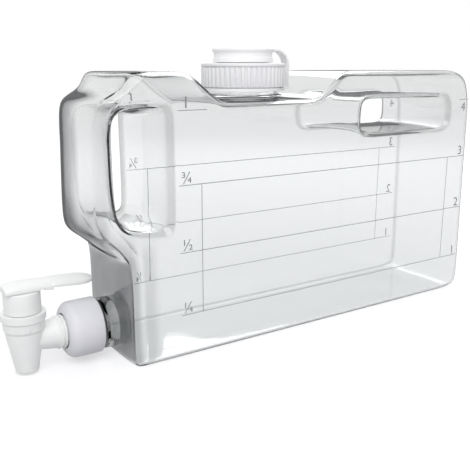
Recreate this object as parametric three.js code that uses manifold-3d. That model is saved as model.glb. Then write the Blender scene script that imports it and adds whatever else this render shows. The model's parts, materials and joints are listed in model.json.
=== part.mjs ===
// Fridge water jug with tap: a thin-walled blow-moulded tank with two handle tunnels,
// a ribbed screw cap with a snap lid on a strap, and a push-lever tap held by a collar nut.
// Millimetres, +Z up, tap towards -X, mirror plane Y = 0, origin under the middle of the whole jug.

import * as THREE from 'three';
import * as BufferGeometryUtils from 'three/addons/utils/BufferGeometryUtils.js';
import Module from 'manifold-3d';

const wasm = await Module();
wasm.setup();

// Gaps shared by all pieces: a resting seat, and the length by which a cut runs past a face
const seatGap = 0.3;
const overrun = 2;

// Tank: lengths along X are measured from the front face of the hollow grip column
const tank = {
	length: 347,
	height: 193,
	width: 82,
	wall: 1.8,
	edgeRadius: 6.5,
	elbowHeight: 91,
	elbowRootHeight: 71,
	elbowRadius: 9,
	recessDepth: 22.7,
	recessBow: 2.5,
	noseBow: 32,
	nosePowerShare: 5,
	shoulderFrontDrop: 19,
	shoulderRearDrop: 11.5,
	shoulderRadius: 8,
	shoulderLength: 15,
	riserLength: 4.5,
	riserRadius: 3,
	crestRadius: 8,
	frontCrestEnd: 68.5,
	deckDrop: 20,
	deckStart: 93,
	deckEnd: 178,
	rearCrestStart: 200.5,
	rearCrestRadius: 22,
	rearDraft: 3,
	heelRadius: 13,
	toeRadius: 6,
};

// Where the tank's side outlines stand between its mid width and the rounded edge, from the edge inwards
const tankStationShares = [0.6, 0.34, 0];

// Most of an edge of an outline that the fillet at one end may take
const filletFitShare = 0.48;

// Handle tunnels: the narrowest opening at mid width, and how far each side flares at the faces
const frontTunnel = {
	start: 22.5,
	end: 46,
	sill: 6,
	drop: 26,
	radius: 12,
	flareEnd: 4.5,
	flareBottom: 8,
	flareTop: 6,
	gripHalfWidth: 33,
	gripRound: 11.9,
};
const rearTunnel = {
	start: 223,
	end: 312,
	height: 23.5,
	drop: 22,
	radius: 11,
	flareStart: 5,
	flareEnd: 8,
	flareBottom: 2.5,
	flareTop: 1.5,
};
const tunnelFlarePowerShare = 3;
const tunnelRidgeShare = 0.82;
const tunnelStationShares = [0.88, 0.7, 0.42];

// Fill neck on the deck
const fillNeck = {
	position: 135.6,
	radius: 26,
	bore: 24,
	height: 21,
	beadRadius: 28.6,
	beadHeight: 1.4,
	beadRise: 1.6,
	lipRound: 0.8,
};

// Tap neck on the wall of the recess under the column
const tapNeck = {
	height: 22.6,
	length: 25.5,
	rootRadius: 17.7,
	rootLength: 7.3,
	waistRadius: 15.6,
	waistLength: 1.6,
	threadRadius: 16.3,
	bore: 14.3,
};

// Ribbed screw cap with its pour spout
const cap = {
	clearance: 0.4,
	wall: 3.1,
	ribDepth: 1.1,
	ribCount: 48,
	ribPhaseShare: 0.28,
	skirtLength: 14.8,
	topThickness: 2.2,
	edgeRound: 1.2,
	spoutRadius: 19.3,
	spoutBore: 17.6,
	spoutHeight: 8.2,
	spoutLip: 0.7,
	spoutLipHeight: 1.4,
};
const capGasket = {
	thickness: 1.6,
	bore: 22.4,
};

// Snap lid over the pour spout
const lid = {
	clearance: 0.4,
	wall: 1.3,
	skirtGap: 0.5,
	bandHeight: 3,
	bandStep: 0.5,
	rimRadius: 22.4,
	rimHeight: 3,
	rimRound: 0.9,
	topThickness: 1.8,
	dishDepth: 0.8,
	dishRadius: 17,
	plugClearance: 0.35,
	plugWall: 1.4,
	plugDepth: 4.2,
};

// Strap from the lid's rim over a bend and down to the ring under the cap, hinged on its bend
const strap = {
	thickness: 1.3,
	width: 8,
	topRun: 4.75,
	bendRadius: 12,
	hingeTurnShare: 2 / 3,
	footRadius: 3,
	ringClearance: 0.5,
	ringRadius: 29.8,
	ringHeight: 2.2,
	hingeGap: 0.4,
};

// Collar nut that clamps the tap to its neck
const collar = {
	radius: 19.5,
	length: 23.2,
	clearance: 0.35,
	endWall: 2.2,
	endBore: 11.9,
	shoulder: 6.6,
	rearRound: 0.8,
};
const tapGasket = {
	thickness: 2,
	radius: 15.8,
	bore: 10,
};

// Tap body: flange, barrel, bowl and spout; lengths along X are measured from the valve axis
const tap = {
	reach: 28.1,
	flangeThickness: 3,
	flangeRadius: 15.6,
	barrelRadius: 10.4,
	barrelRootRadius: 8.4,
	barrelConeStart: 6,
	barrelConeEnd: 19,
	barrelBore: 6.5,
	ringRadius: 11.4,
	ringStart: 20.6,
	ringLength: 1.9,
	ringSpacing: 2.9,
	gussetHeight: 4,
	gussetThickness: 2,
	spoutBottom: 1.6,
	spoutRadius: 7.6,
	spoutBore: 5.6,
	spoutWall: 1.8,
	coneTop: 27.5,
	coneRadius: 12.3,
	bandBottom: 31,
	bandRadius: 13.4,
	rimBottom: 37.3,
	rimTop: 41.8,
	rimRadius: 14.5,
	seatHeight: 13.6,
	chamberRadius: 9.6,
	ledgeHeight: 32.6,
	threadBore: 11.2,
};

// Bonnet screwed into the bowl
const bonnet = {
	radius: 11.9,
	top: 56.2,
	topWall: 3,
	bore: 7.6,
	skirtClearance: 0.3,
	stemBore: 3.8,
	edgeRound: 0.8,
};
const bonnetSeal = {
	thickness: 1.1,
	clearance: 0.3,
	bore: 9.8,
};

// Valve stem, its silicone plug and the return spring
const stem = {
	radius: 3.2,
	tipHeight: 17.4,
	barbRadius: 4,
	barbHeight: 1.6,
	flangeRadius: 6.6,
	flangeBottom: 29.4,
	flangeThickness: 1.6,
	neckHalfWidth: 1.92,
	tabHalfThickness: 2.5,
	tabRadius: 2.3,
	tabFront: 3.9,
	tabRise: 1.2,
	slotFront: 1.8,
	slotRear: 1.8,
};
const plug = {
	radius: 7.1,
	discThickness: 2.6,
	domeDepth: 1.6,
	sleeveRadius: 5.4,
	clearance: 0.3,
	sleeveTop: 22,
};
const spring = {
	wireRadius: 0.5,
	coilRadius: 5.3,
	turns: 6,
	stepsPerTurn: 8,
	wireSides: 5,
	endTurns: 1,
	endPitch: 1.5,
};

// Lever that rocks on the bonnet's rear edge and lifts the stem by a pin
const lever = {
	front: 12.2,
	rear: 47.7,
	blockRear: 18.9,
	headHalfWidth: 9,
	paddleHalfWidth: 9.6,
	thinThickness: 5.2,
	headThickness: 7,
	blockDepth: 1.2,
	paddleThickness: 4.8,
	crown: 1.7,
	cornerRadius: 5,
	endRound: 1.5,
	tipDraw: 4,
	tipHalfWidth: 2.4,
	fulcrum: 8.5,
	reliefLength: 4.3,
	reliefHeight: 1.3,
	pocketHalfLength: 6.9,
	pocketHalfWidth: 3.2,
	pocketShoulder: 3.2,
	pocketHeight: 5.3,
	pinHeight: 2.5,
	tipRise: 0.6,
};
const pin = {
	radius: 1.2,
	clearance: 0.15,
	halfLength: 8.2,
	slotClearance: 0.35,
};

// Facet counts
const roundSteps = 32;
const smallSteps = 24;
const arcSteps = 3;
const edgeSteps = 3;

// Places that follow from the sizes above
const halfWidth = tank.width / 2;
const recess = tank.recessDepth;
const deckHeight = tank.height - tank.deckDrop;
const frontOpening = {
	bottom: tank.elbowHeight + frontTunnel.sill,
	top: tank.height - frontTunnel.drop,
};
const rearOpening = {
	bottom: tank.height - rearTunnel.drop - rearTunnel.height,
	top: tank.height - rearTunnel.drop,
};
const neckTop = deckHeight + fillNeck.height;
const neckMouth = recess - tapNeck.length;
const gasketFront = neckMouth - seatGap - tapGasket.thickness;
const flangeRear = gasketFront - seatGap;
const flangeFront = flangeRear - tap.flangeThickness;
const valveAxis = flangeFront - tap.reach;
const collarFront = flangeFront - seatGap - collar.endWall;
const collarRear = collarFront + collar.length;
const frontmost = valveAxis - tap.rimRadius;
const middle = (frontmost + tank.length) / 2;
const capUnderside = neckTop + seatGap + capGasket.thickness + seatGap;
const capTop = capUnderside + cap.topThickness;
const capBottom = capUnderside - cap.skirtLength;
const capInnerRadius = fillNeck.radius + cap.clearance;
const capRadius = capInnerRadius + cap.wall + cap.ribDepth;
const spoutTop = capTop + cap.spoutHeight;
const lidUnderside = spoutTop + seatGap;
const lidTop = lidUnderside + lid.topThickness;
const ringTop = capBottom - seatGap;
const ringBottom = ringTop - strap.ringHeight;

// Materials
function plastic(color, roughness, opacity = 1) {
	return new THREE.MeshStandardMaterial({
		color,
		roughness,
		metalness: 0,
		opacity,
		transparent: opacity < 1,
	});
}
const clearPlastic = plastic(0xdfe3e6, 0.05, 0.35);
const whiteCap = plastic(0xf1f1f2, 0.45);
const whiteLid = plastic(0xf5f5f5, 0.4);
const collarWhite = plastic(0xe9e9ed, 0.5);
const tapWhite = plastic(0xeef1f2, 0.35);
const sealRubber = plastic(0xc9ccd0, 0.7);
const springSteel = new THREE.MeshStandardMaterial({ color: 0xb9bcc0, roughness: 0.3, metalness: 1 });

// Closed mesh of a stack of rings with the same number of points, capped at both ends
function loft(rings, flat) {
	const positions = [];
	const indices = [];
	const count = rings[0].length;
	for (const ring of rings) {
		for (const point of ring) {
			positions.push(point.x, point.y, point.z);
		}
	}
	for (let row = 0; row + 1 < rings.length; row++) {
		for (let i = 0; i < count; i++) {
			const a = row * count + i;
			const b = row * count + (i + 1) % count;
			indices.push(a, b, b + count, a, b + count, a + count);
		}
	}
	const last = (rings.length - 1) * count;
	for (const [ring, offset, outwards] of [[rings[0], 0, false], [rings[rings.length - 1], last, true]]) {
		const outline = ring.map(flat);
		const alongRing = !THREE.ShapeUtils.isClockWise(outline);
		for (const [a, b, c] of THREE.ShapeUtils.triangulateShape(outline, [])) {
			const [first, third] = alongRing === outwards ? [a, c] : [c, a];
			indices.push(offset + first, offset + b, offset + third);
		}
	}
	const geometry = new THREE.BufferGeometry();
	geometry.setAttribute('position', new THREE.Float32BufferAttribute(positions, 3));
	geometry.setIndex(indices);
	return geometry;
}

// Revolved solid about the Z axis from [radius, height] points that start and end on the axis or close up
function revolve(profile, steps = roundSteps) {
	const points = profile.map(([radius, height]) => new THREE.Vector2(radius, height));
	return new THREE.LatheGeometry(points, steps).rotateX(Math.PI / 2);
}

// Revolved solid about the X axis from [radius, place along X] points
function revolveAlongX(profile, steps = roundSteps) {
	return revolve(profile, steps).rotateY(Math.PI / 2);
}

// Closed profile between an outer and an inner radius
function tubeProfile(inner, outer, bottom, top) {
	return [[inner, bottom], [outer, bottom], [outer, top], [inner, top], [inner, bottom]];
}

// Solid rod profile
function rodProfile(radius, bottom, top) {
	return [[0, bottom], [radius, bottom], [radius, top], [0, top]];
}

// Quarter round of a revolved profile, from one angle to another in quarter turns
function roundProfile(radius, height, size, startShare, endShare, steps = arcSteps) {
	const points = [];
	for (let i = 0; i <= steps; i++) {
		const angle = (startShare + (endShare - startShare) * i / steps) * Math.PI / 2;
		points.push([radius + size * Math.cos(angle), height + size * Math.sin(angle)]);
	}
	return points;
}

// Prism of an XZ outline, running along Y between two places
function prismAlongY(points, from, to) {
	const shape = new THREE.Shape(points.map(([x, z]) => new THREE.Vector2(x, z)));
	const geometry = new THREE.ExtrudeGeometry(shape, { depth: to - from, bevelEnabled: false });
	return geometry.rotateX(Math.PI / 2).translate(0, to, 0);
}

// Solid for joining and cutting, made from a closed three.js geometry
function solid(geometry) {
	const bare = geometry.clone();
	bare.deleteAttribute('normal');
	bare.deleteAttribute('uv');
	const merged = BufferGeometryUtils.mergeVertices(bare);
	const vertProperties = new Float32Array(merged.attributes.position.array);
	const index = merged.index.array;
	const kept = [];
	for (let i = 0; i < index.length; i += 3) {
		const [a, b, c] = [index[i], index[i + 1], index[i + 2]];
		if (a !== b && b !== c && c !== a) {
			kept.push(a, b, c);
		}
	}
	const triVerts = new Uint32Array(kept);
	return new wasm.Manifold(new wasm.Mesh({ numProp: 3, vertProperties, triVerts }));
}

// Three.js geometry of a joined or cut solid
function geometryOf(manifold) {
	const mesh = manifold.getMesh();
	const geometry = new THREE.BufferGeometry();
	const positions = new Float32Array(mesh.vertProperties);
	geometry.setAttribute('position', new THREE.BufferAttribute(positions, 3));
	geometry.setIndex(new THREE.BufferAttribute(new Uint32Array(mesh.triVerts), 1));
	geometry.computeVertexNormals();
	return geometry;
}

// Outline with every corner moved inwards by an inset and then rounded by its own radius
function roundedOutline(corners, inset) {
	const count = corners.length;
	const direction = [];
	for (let i = 0; i < count; i++) {
		const from = corners[i];
		const to = corners[(i + 1) % count];
		direction.push(new THREE.Vector2(to[0] - from[0], to[1] - from[1]).normalize());
	}
	const moved = [];
	const turns = [];
	for (let i = 0; i < count; i++) {
		const before = direction[(i + count - 1) % count];
		const after = direction[i];
		const turn = Math.atan2(before.cross(after), before.dot(after));
		const miter = inset * Math.tan(turn / 2);
		turns.push(turn);
		moved.push(new THREE.Vector2(
			corners[i][0] - inset * after.y + miter * after.x,
			corners[i][1] + inset * after.x + miter * after.y,
		));
	}
	const points = [];
	for (let i = 0; i < count; i++) {
		const before = direction[(i + count - 1) % count];
		const after = direction[i];
		const turn = turns[i];
		const lengthBefore = moved[i].distanceTo(moved[(i + count - 1) % count]);
		const lengthAfter = moved[i].distanceTo(moved[(i + 1) % count]);
		const wanted = Math.max(corners[i][2] - inset * Math.sign(turn), tank.wall / 2);
		const halfTan = Math.tan(Math.abs(turn) / 2);
		const longest = Math.min(lengthBefore, lengthAfter) * filletFitShare;
		const setback = Math.min(wanted * halfTan, longest);
		const radius = setback / halfTan;
		const start = moved[i].clone().addScaledVector(before, -setback);
		const side = Math.sign(turn);
		const centre = start.clone().add(new THREE.Vector2(-before.y, before.x).multiplyScalar(radius * side));
		const spoke = start.clone().sub(centre);
		for (let step = 0; step <= arcSteps; step++) {
			const swept = spoke.clone().rotateAround(new THREE.Vector2(), turn * step / arcSteps);
			points.push(centre.clone().add(swept));
		}
	}
	return points;
}

// Side outline of the tank at a share of its half width: the nose and the recess wall bow back
function tankCorners(share) {
	const nose = tank.noseBow * share ** tank.nosePowerShare;
	const recessWall = recess + tank.recessBow * share ** 2;
	const shoulder = nose + tank.shoulderLength;
	return [
		[recessWall, 0, tank.toeRadius],
		[tank.length, 0, tank.heelRadius],
		[tank.length - tank.rearDraft, tank.height, tank.rearCrestRadius],
		[tank.rearCrestStart, tank.height, tank.crestRadius],
		[tank.deckEnd, deckHeight, tank.crestRadius],
		[tank.deckStart, deckHeight, tank.crestRadius],
		[tank.frontCrestEnd, tank.height, tank.crestRadius],
		[shoulder + tank.riserLength, tank.height, tank.riserRadius],
		[shoulder, tank.height - tank.shoulderRearDrop, tank.riserRadius],
		[nose, tank.height - tank.shoulderFrontDrop, tank.shoulderRadius],
		[nose, tank.elbowHeight, tank.elbowRadius],
		[recessWall, tank.elbowRootHeight, tank.elbowRadius],
	];
}

// Blow-moulded slab: side outlines stacked across the width, drawn in round its edges
function tankSlab(wall) {
	const half = halfWidth - wall;
	const round = tank.edgeRadius - wall;
	const stations = [];
	for (let i = 0; i <= edgeSteps; i++) {
		const angle = Math.PI / 2 * (1 - i / edgeSteps);
		stations.push([half - round + round * Math.sin(angle), round * (1 - Math.cos(angle))]);
	}
	stations.push(...tankStationShares.map((share) => [half * share, 0]));
	const mirrored = stations.slice(0, -1).reverse().map(([place, inset]) => [-place, inset]);
	const rings = [...stations, ...mirrored].map(([place, inset]) => {
		const outline = roundedOutline(tankCorners(Math.abs(place) / half), wall + inset);
		return outline.map((point) => new THREE.Vector3(point.x, place, point.y));
	});
	return loft(rings, (point) => new THREE.Vector2(point.x, point.z));
}

// How far the front side of a tunnel draws back at a share of the half width: plainly flared,
// or rounded as a quarter ellipse where it forms the back of the grip column
function frontSideFlare(tunnel, share) {
	if (!tunnel.gripHalfWidth) {
		return tunnel.flareStart * share ** tunnelFlarePowerShare;
	}
	const round = Math.min(share * halfWidth / tunnel.gripHalfWidth, 1);
	const past = Math.max(share * halfWidth - tunnel.gripHalfWidth, 0);
	return tunnel.gripRound * (1 - Math.sqrt(1 - round ** 2)) + past;
}

// Handle tunnel between two heights that flares towards both faces, grown all round by a wall
function tunnelLoft(tunnel, opening, wall) {
	const ridge = tunnel.gripHalfWidth ? tunnel.gripHalfWidth / halfWidth : tunnelRidgeShare;
	const inside = tunnelStationShares.map((share) => share * ridge);
	const side = [1 + overrun / halfWidth, (1 + ridge) / 2, ridge, ...inside];
	const shares = [...side, 0, ...side.map((share) => -share).reverse()];
	const rings = shares.map((share) => {
		const flare = Math.abs(share) ** tunnelFlarePowerShare;
		const left = tunnel.start - frontSideFlare(tunnel, Math.abs(share)) - wall;
		const right = tunnel.end + tunnel.flareEnd * flare + wall;
		const bottom = opening.bottom - tunnel.flareBottom * flare - wall;
		const top = opening.top + tunnel.flareTop * flare + wall;
		const radius = tunnel.radius + tunnel.flareTop * flare + wall;
		const corners = [
			[left, bottom, radius],
			[right, bottom, radius],
			[right, top, radius],
			[left, top, radius],
		];
		const place = share * halfWidth;
		return roundedOutline(corners, 0).map((point) => new THREE.Vector3(point.x, place, point.y));
	});
	return loft(rings, (point) => new THREE.Vector2(point.x, point.z));
}

// Jug body: outer form less the inner form, which opens through both necks
function jugBodyGeometry() {
	const neckRoot = deckHeight - tank.wall / 2;
	const beadBottom = deckHeight + fillNeck.beadRise;
	const beadTop = beadBottom + fillNeck.beadHeight;
	const fillOuter = revolve([
		[0, neckRoot],
		[fillNeck.radius, neckRoot],
		[fillNeck.radius, beadBottom - fillNeck.beadHeight / 2],
		[fillNeck.beadRadius, beadBottom],
		[fillNeck.beadRadius, beadTop],
		[fillNeck.radius, beadTop + fillNeck.beadHeight / 2],
		[fillNeck.radius, neckTop - fillNeck.lipRound],
		[fillNeck.radius - fillNeck.lipRound, neckTop],
		[0, neckTop],
	]).translate(fillNeck.position, 0, 0);
	const fillBore = revolve(rodProfile(fillNeck.bore, neckRoot - tank.wall, neckTop + overrun))
		.translate(fillNeck.position, 0, 0);
	const rootFront = recess - tapNeck.rootLength;
	const waistFront = rootFront - tapNeck.waistLength;
	const neckBuried = recess + tank.wall / 2 + tank.recessBow * (tapNeck.rootRadius / halfWidth) ** 2;
	const tapOuter = revolveAlongX([
		[0, neckMouth],
		[tapNeck.threadRadius - fillNeck.lipRound, neckMouth],
		[tapNeck.threadRadius, neckMouth + fillNeck.lipRound],
		[tapNeck.threadRadius, waistFront - tapNeck.waistLength],
		[tapNeck.waistRadius, waistFront],
		[tapNeck.waistRadius, rootFront],
		[tapNeck.rootRadius, rootFront + tapNeck.waistLength / 2],
		[tapNeck.rootRadius, neckBuried],
		[0, neckBuried],
	]).translate(0, 0, tapNeck.height);
	const tapBore = revolveAlongX(rodProfile(tapNeck.bore, neckMouth - overrun, neckBuried + tank.wall))
		.translate(0, 0, tapNeck.height);
	const outer = solid(tankSlab(0))
		.subtract(solid(tunnelLoft(frontTunnel, frontOpening, 0)))
		.subtract(solid(tunnelLoft(rearTunnel, rearOpening, 0)))
		.add(solid(fillOuter))
		.add(solid(tapOuter));
	const inner = solid(tankSlab(tank.wall))
		.subtract(solid(tunnelLoft(frontTunnel, frontOpening, tank.wall)))
		.subtract(solid(tunnelLoft(rearTunnel, rearOpening, tank.wall)))
		.add(solid(fillBore))
		.add(solid(tapBore));
	return geometryOf(outer.subtract(inner));
}

// Ribbed ring outline: pairs of points round the circle, out on a rib and in between ribs
function ribbedRing(inner, valley, crest, bottom, top) {
	const shape = new THREE.Shape();
	const pitch = 2 * Math.PI / cap.ribCount;
	for (let i = 0; i < cap.ribCount; i++) {
		const marks = [
			[valley, 0],
			[crest, cap.ribPhaseShare * pitch],
			[crest, 2 * cap.ribPhaseShare * pitch],
			[valley, 3 * cap.ribPhaseShare * pitch],
		];
		for (const [radius, turn] of marks) {
			const angle = i * pitch + turn;
			const point = new THREE.Vector2(radius * Math.cos(angle), radius * Math.sin(angle));
			if (i === 0 && turn === 0) {
				shape.moveTo(point.x, point.y);
			} else {
				shape.lineTo(point.x, point.y);
			}
		}
	}
	const hole = new THREE.Path();
	hole.absarc(0, 0, inner, 0, 2 * Math.PI, true);
	shape.holes.push(hole);
	const options = { depth: top - bottom, bevelEnabled: false, curveSegments: roundSteps / 2 };
	return new THREE.ExtrudeGeometry(shape, options).translate(0, 0, bottom);
}

// Cap: ribbed skirt, plain rim and top plate, and the pour spout with its snap lip
function capGeometry() {
	const skirtRadius = capInnerRadius + cap.wall;
	const ribTop = capTop - 2 * cap.edgeRound;
	const ribbed = ribbedRing(capInnerRadius, skirtRadius, capRadius, capBottom, ribTop);
	const crown = revolve([
		[cap.spoutBore, capUnderside],
		[capInnerRadius, capUnderside],
		[capInnerRadius, ribTop],
		[capRadius, ribTop],
		...roundProfile(capRadius - cap.edgeRound, capTop - cap.edgeRound, cap.edgeRound, 0, 1),
		[cap.spoutRadius, capTop],
		[cap.spoutRadius, spoutTop - 2 * cap.spoutLipHeight],
		[cap.spoutRadius + cap.spoutLip, spoutTop - cap.spoutLipHeight],
		[cap.spoutRadius, spoutTop],
		[cap.spoutBore, spoutTop],
		[cap.spoutBore, capUnderside],
	]);
	return geometryOf(solid(ribbed).add(solid(crown)));
}

// Flat ring under the cap's top plate
function capGasketGeometry() {
	const bottom = neckTop + seatGap;
	return revolve(tubeProfile(capGasket.bore, fillNeck.radius, bottom, bottom + capGasket.thickness));
}

// Points along an arc of the strap's bend or foot, between two angles
function arcPoints(centre, radius, from, to, steps) {
	const points = [];
	for (let i = 0; i <= steps; i++) {
		const angle = from + (to - from) * i / steps;
		points.push(new THREE.Vector2(radius, 0).rotateAround(new THREE.Vector2(), angle).add(centre));
	}
	return points;
}

// Ribbon of the strap along a middle line in the XZ plane
function ribbonAlong(middleLine) {
	const half = strap.thickness / 2;
	const above = [];
	const below = [];
	for (let i = 0; i < middleLine.length; i++) {
		const before = middleLine[Math.max(i - 1, 0)];
		const after = middleLine[Math.min(i + 1, middleLine.length - 1)];
		const along = after.clone().sub(before).normalize();
		const point = middleLine[i];
		above.push([point.x - along.y * half, point.y + along.x * half]);
		below.push([point.x + along.y * half, point.y - along.x * half]);
	}
	return prismAlongY([...above.reverse(), ...below], -strap.width / 2, strap.width / 2);
}

// The strap's bend: its centre, and the angles at which the two runs end on either side of the hinge
const strapTop = lidTop - strap.thickness / 2;
const bendCentre = new THREE.Vector2(lid.rimRadius + strap.topRun, strapTop - strap.bendRadius);
const hingeAngle = Math.PI / 2 * (1 - strap.hingeTurnShare);
const hingeGapAngle = strap.hingeGap / strap.bendRadius / 2;

// Lid: dished top, flared rim, stepped skirt, a plug ring that seals inside the spout and the strap's top run
function lidGeometry() {
	const skirtInner = cap.spoutRadius + cap.spoutLip + lid.clearance;
	const skirtOuter = skirtInner + lid.wall;
	const skirtBottom = capTop + lid.skirtGap;
	const bandTop = skirtBottom + lid.bandHeight;
	const rimBottom = lidTop - lid.rimHeight;
	const plugOuter = cap.spoutBore - lid.plugClearance;
	const plugInner = plugOuter - lid.plugWall;
	const plugBottom = lidUnderside - lid.plugDepth;
	const cover = revolve([
		[0, lidUnderside],
		[plugInner, lidUnderside],
		[plugInner, plugBottom],
		[plugOuter - lid.plugWall / 2, plugBottom],
		[plugOuter, plugBottom + lid.plugWall],
		[plugOuter, lidUnderside],
		[skirtInner, lidUnderside],
		[skirtInner, skirtBottom],
		[skirtOuter, skirtBottom],
		[skirtOuter, bandTop],
		[skirtOuter - lid.bandStep, bandTop + lid.bandStep],
		[skirtOuter - lid.bandStep, rimBottom - lid.bandStep],
		[lid.rimRadius, rimBottom + lid.rimHeight / 2],
		...roundProfile(lid.rimRadius - lid.rimRound, lidTop - lid.rimRound, lid.rimRound, 0, 1, edgeSteps),
		[lid.dishRadius + lid.dishDepth, lidTop],
		[lid.dishRadius, lidTop - lid.dishDepth],
		[0, lidTop - lid.dishDepth],
	]);
	const topRun = ribbonAlong([
		new THREE.Vector2(lid.rimRadius - 2 * lid.rimRound, strapTop),
		...arcPoints(bendCentre, strap.bendRadius, Math.PI / 2, hingeAngle + hingeGapAngle, 2 * arcSteps),
	]);
	return geometryOf(solid(cover).add(solid(topRun)));
}

// Strap: from the hinge on its bend down to a short foot and the ring round the neck
function strapGeometry() {
	const half = strap.thickness / 2;
	const centreOut = bendCentre.x + strap.bendRadius;
	const centreBottom = ringBottom + half;
	const footCentre = new THREE.Vector2(centreOut - strap.footRadius, centreBottom + strap.footRadius);
	const footIn = (fillNeck.radius + strap.ringClearance + strap.ringRadius) / 2;
	const ribbon = ribbonAlong([
		...arcPoints(bendCentre, strap.bendRadius, hingeAngle - hingeGapAngle, 0, arcSteps),
		...arcPoints(footCentre, strap.footRadius, 0, -Math.PI / 2, 2 * arcSteps),
		new THREE.Vector2(footIn, centreBottom),
	]);
	const ring = revolve(tubeProfile(
		fillNeck.radius + strap.ringClearance,
		strap.ringRadius,
		ringBottom,
		ringTop,
	));
	return geometryOf(solid(ring).add(solid(ribbon)));
}

// Collar nut: rounded front shoulder, end wall with a hole for the barrel, open threaded rear
function collarGeometry() {
	const bore = tapNeck.threadRadius + collar.clearance;
	const endRear = collarFront + collar.endWall;
	const front = roundProfile(
		collar.radius - collar.shoulder,
		-(collarFront + collar.shoulder),
		collar.shoulder,
		1,
		0,
	).map(([radius, place]) => [radius, -place]);
	return revolveAlongX([
		[collar.endBore, collarFront],
		...front,
		[collar.radius, collarRear - collar.rearRound],
		[collar.radius - collar.rearRound, collarRear],
		[bore, collarRear],
		[bore, endRear],
		[collar.endBore, endRear],
		[collar.endBore, collarFront],
	]);
}

function tapGasketGeometry() {
	return revolveAlongX(
		tubeProfile(tapGasket.bore, tapGasket.radius, gasketFront, gasketFront + tapGasket.thickness),
	);
}

// Radius of the bowl's cone at a height
function coneRadius(height) {
	const share = (height - tap.spoutBottom) / (tap.coneTop - tap.spoutBottom);
	return tap.spoutRadius + (tap.coneRadius - tap.spoutRadius) * share;
}

// Tap body: bowl and spout about Z, barrel and flange about X, a gusset between, then the water way
function tapBodyGeometry() {
	const bowl = solid(revolve([
		[0, tap.spoutBottom],
		[tap.spoutRadius, tap.spoutBottom],
		[tap.coneRadius, tap.coneTop],
		[tap.coneRadius, tap.bandBottom - tap.spoutWall],
		[tap.bandRadius, tap.bandBottom],
		[tap.bandRadius, tap.rimBottom - (tap.rimRadius - tap.bandRadius)],
		[tap.rimRadius, tap.rimBottom],
		[tap.rimRadius, tap.rimTop],
		[0, tap.rimTop],
	], roundSteps));
	const barrel = solid(revolveAlongX([
		[0, 0],
		[tap.barrelRootRadius, 0],
		[tap.barrelRootRadius, tap.barrelConeStart],
		[tap.barrelRadius, tap.barrelConeEnd],
		[tap.barrelRadius, tap.ringStart],
		[tap.ringRadius, tap.ringStart],
		[tap.ringRadius, tap.ringStart + tap.ringLength],
		[tap.barrelRadius, tap.ringStart + tap.ringLength],
		[tap.barrelRadius, tap.ringStart + tap.ringSpacing],
		[tap.ringRadius, tap.ringStart + tap.ringSpacing],
		[tap.ringRadius, tap.ringStart + tap.ringSpacing + tap.ringLength],
		[tap.barrelRadius, tap.ringStart + tap.ringSpacing + tap.ringLength],
		[tap.barrelRadius, tap.reach],
		[tap.flangeRadius, tap.reach],
		[tap.flangeRadius, tap.reach + tap.flangeThickness],
		[0, tap.reach + tap.flangeThickness],
	]).translate(0, 0, tapNeck.height));
	const barrelTop = tapNeck.height + tap.barrelRadius;
	const gusset = solid(prismAlongY([
		[tap.coneRadius - tap.spoutWall, tapNeck.height],
		[tap.ringStart, tapNeck.height],
		[tap.ringStart, barrelTop + tap.ringRadius - tap.barrelRadius],
		[tap.ringStart - tap.ringLength, barrelTop + tap.ringRadius - tap.barrelRadius],
		[tap.coneRadius - tap.spoutWall, barrelTop - tap.gussetHeight],
	], -tap.gussetThickness / 2, tap.gussetThickness / 2));
	const chamberFloor = coneRadius(tap.seatHeight) - tap.spoutWall;
	const chamber = solid(revolve([
		[0, tap.spoutBottom - overrun],
		[tap.spoutBore, tap.spoutBottom - overrun],
		[tap.spoutBore, tap.seatHeight],
		[chamberFloor, tap.seatHeight],
		[tap.chamberRadius, tapNeck.height + tap.barrelBore],
		[tap.chamberRadius, tap.ledgeHeight],
		[tap.threadBore, tap.ledgeHeight],
		[tap.threadBore, tap.rimTop + overrun],
		[0, tap.rimTop + overrun],
	]));
	const bore = solid(revolveAlongX(
		rodProfile(tap.barrelBore, tap.spoutBore, tap.reach + tap.flangeThickness + overrun),
		smallSteps,
	).translate(0, 0, tapNeck.height));
	return geometryOf(bowl.add(barrel).add(gusset).subtract(chamber).subtract(bore));
}

// Bonnet: threaded skirt inside the bowl, cup above it, and a guide hole for the stem
function bonnetGeometry() {
	const skirtBottom = tap.ledgeHeight + seatGap + bonnetSeal.thickness + seatGap;
	const skirtRadius = tap.threadBore - bonnet.skirtClearance;
	const seat = tap.rimTop + seatGap;
	return revolve([
		[bonnet.bore, skirtBottom],
		[skirtRadius, skirtBottom],
		[skirtRadius, seat],
		[bonnet.radius, seat],
		[bonnet.radius, bonnet.top - bonnet.edgeRound],
		[bonnet.radius - bonnet.edgeRound, bonnet.top],
		[bonnet.stemBore, bonnet.top],
		[bonnet.stemBore, bonnet.top - bonnet.topWall],
		[bonnet.bore, bonnet.top - bonnet.topWall],
		[bonnet.bore, skirtBottom],
	]);
}

function bonnetSealGeometry() {
	const bottom = tap.ledgeHeight + seatGap;
	const outer = tap.threadBore - bonnetSeal.clearance;
	return revolve(tubeProfile(bonnetSeal.bore, outer, bottom, bottom + bonnetSeal.thickness), smallSteps);
}

// Height of the lever's pin above the table
const pinHeight = bonnet.top + seatGap + lever.pinHeight;

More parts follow.
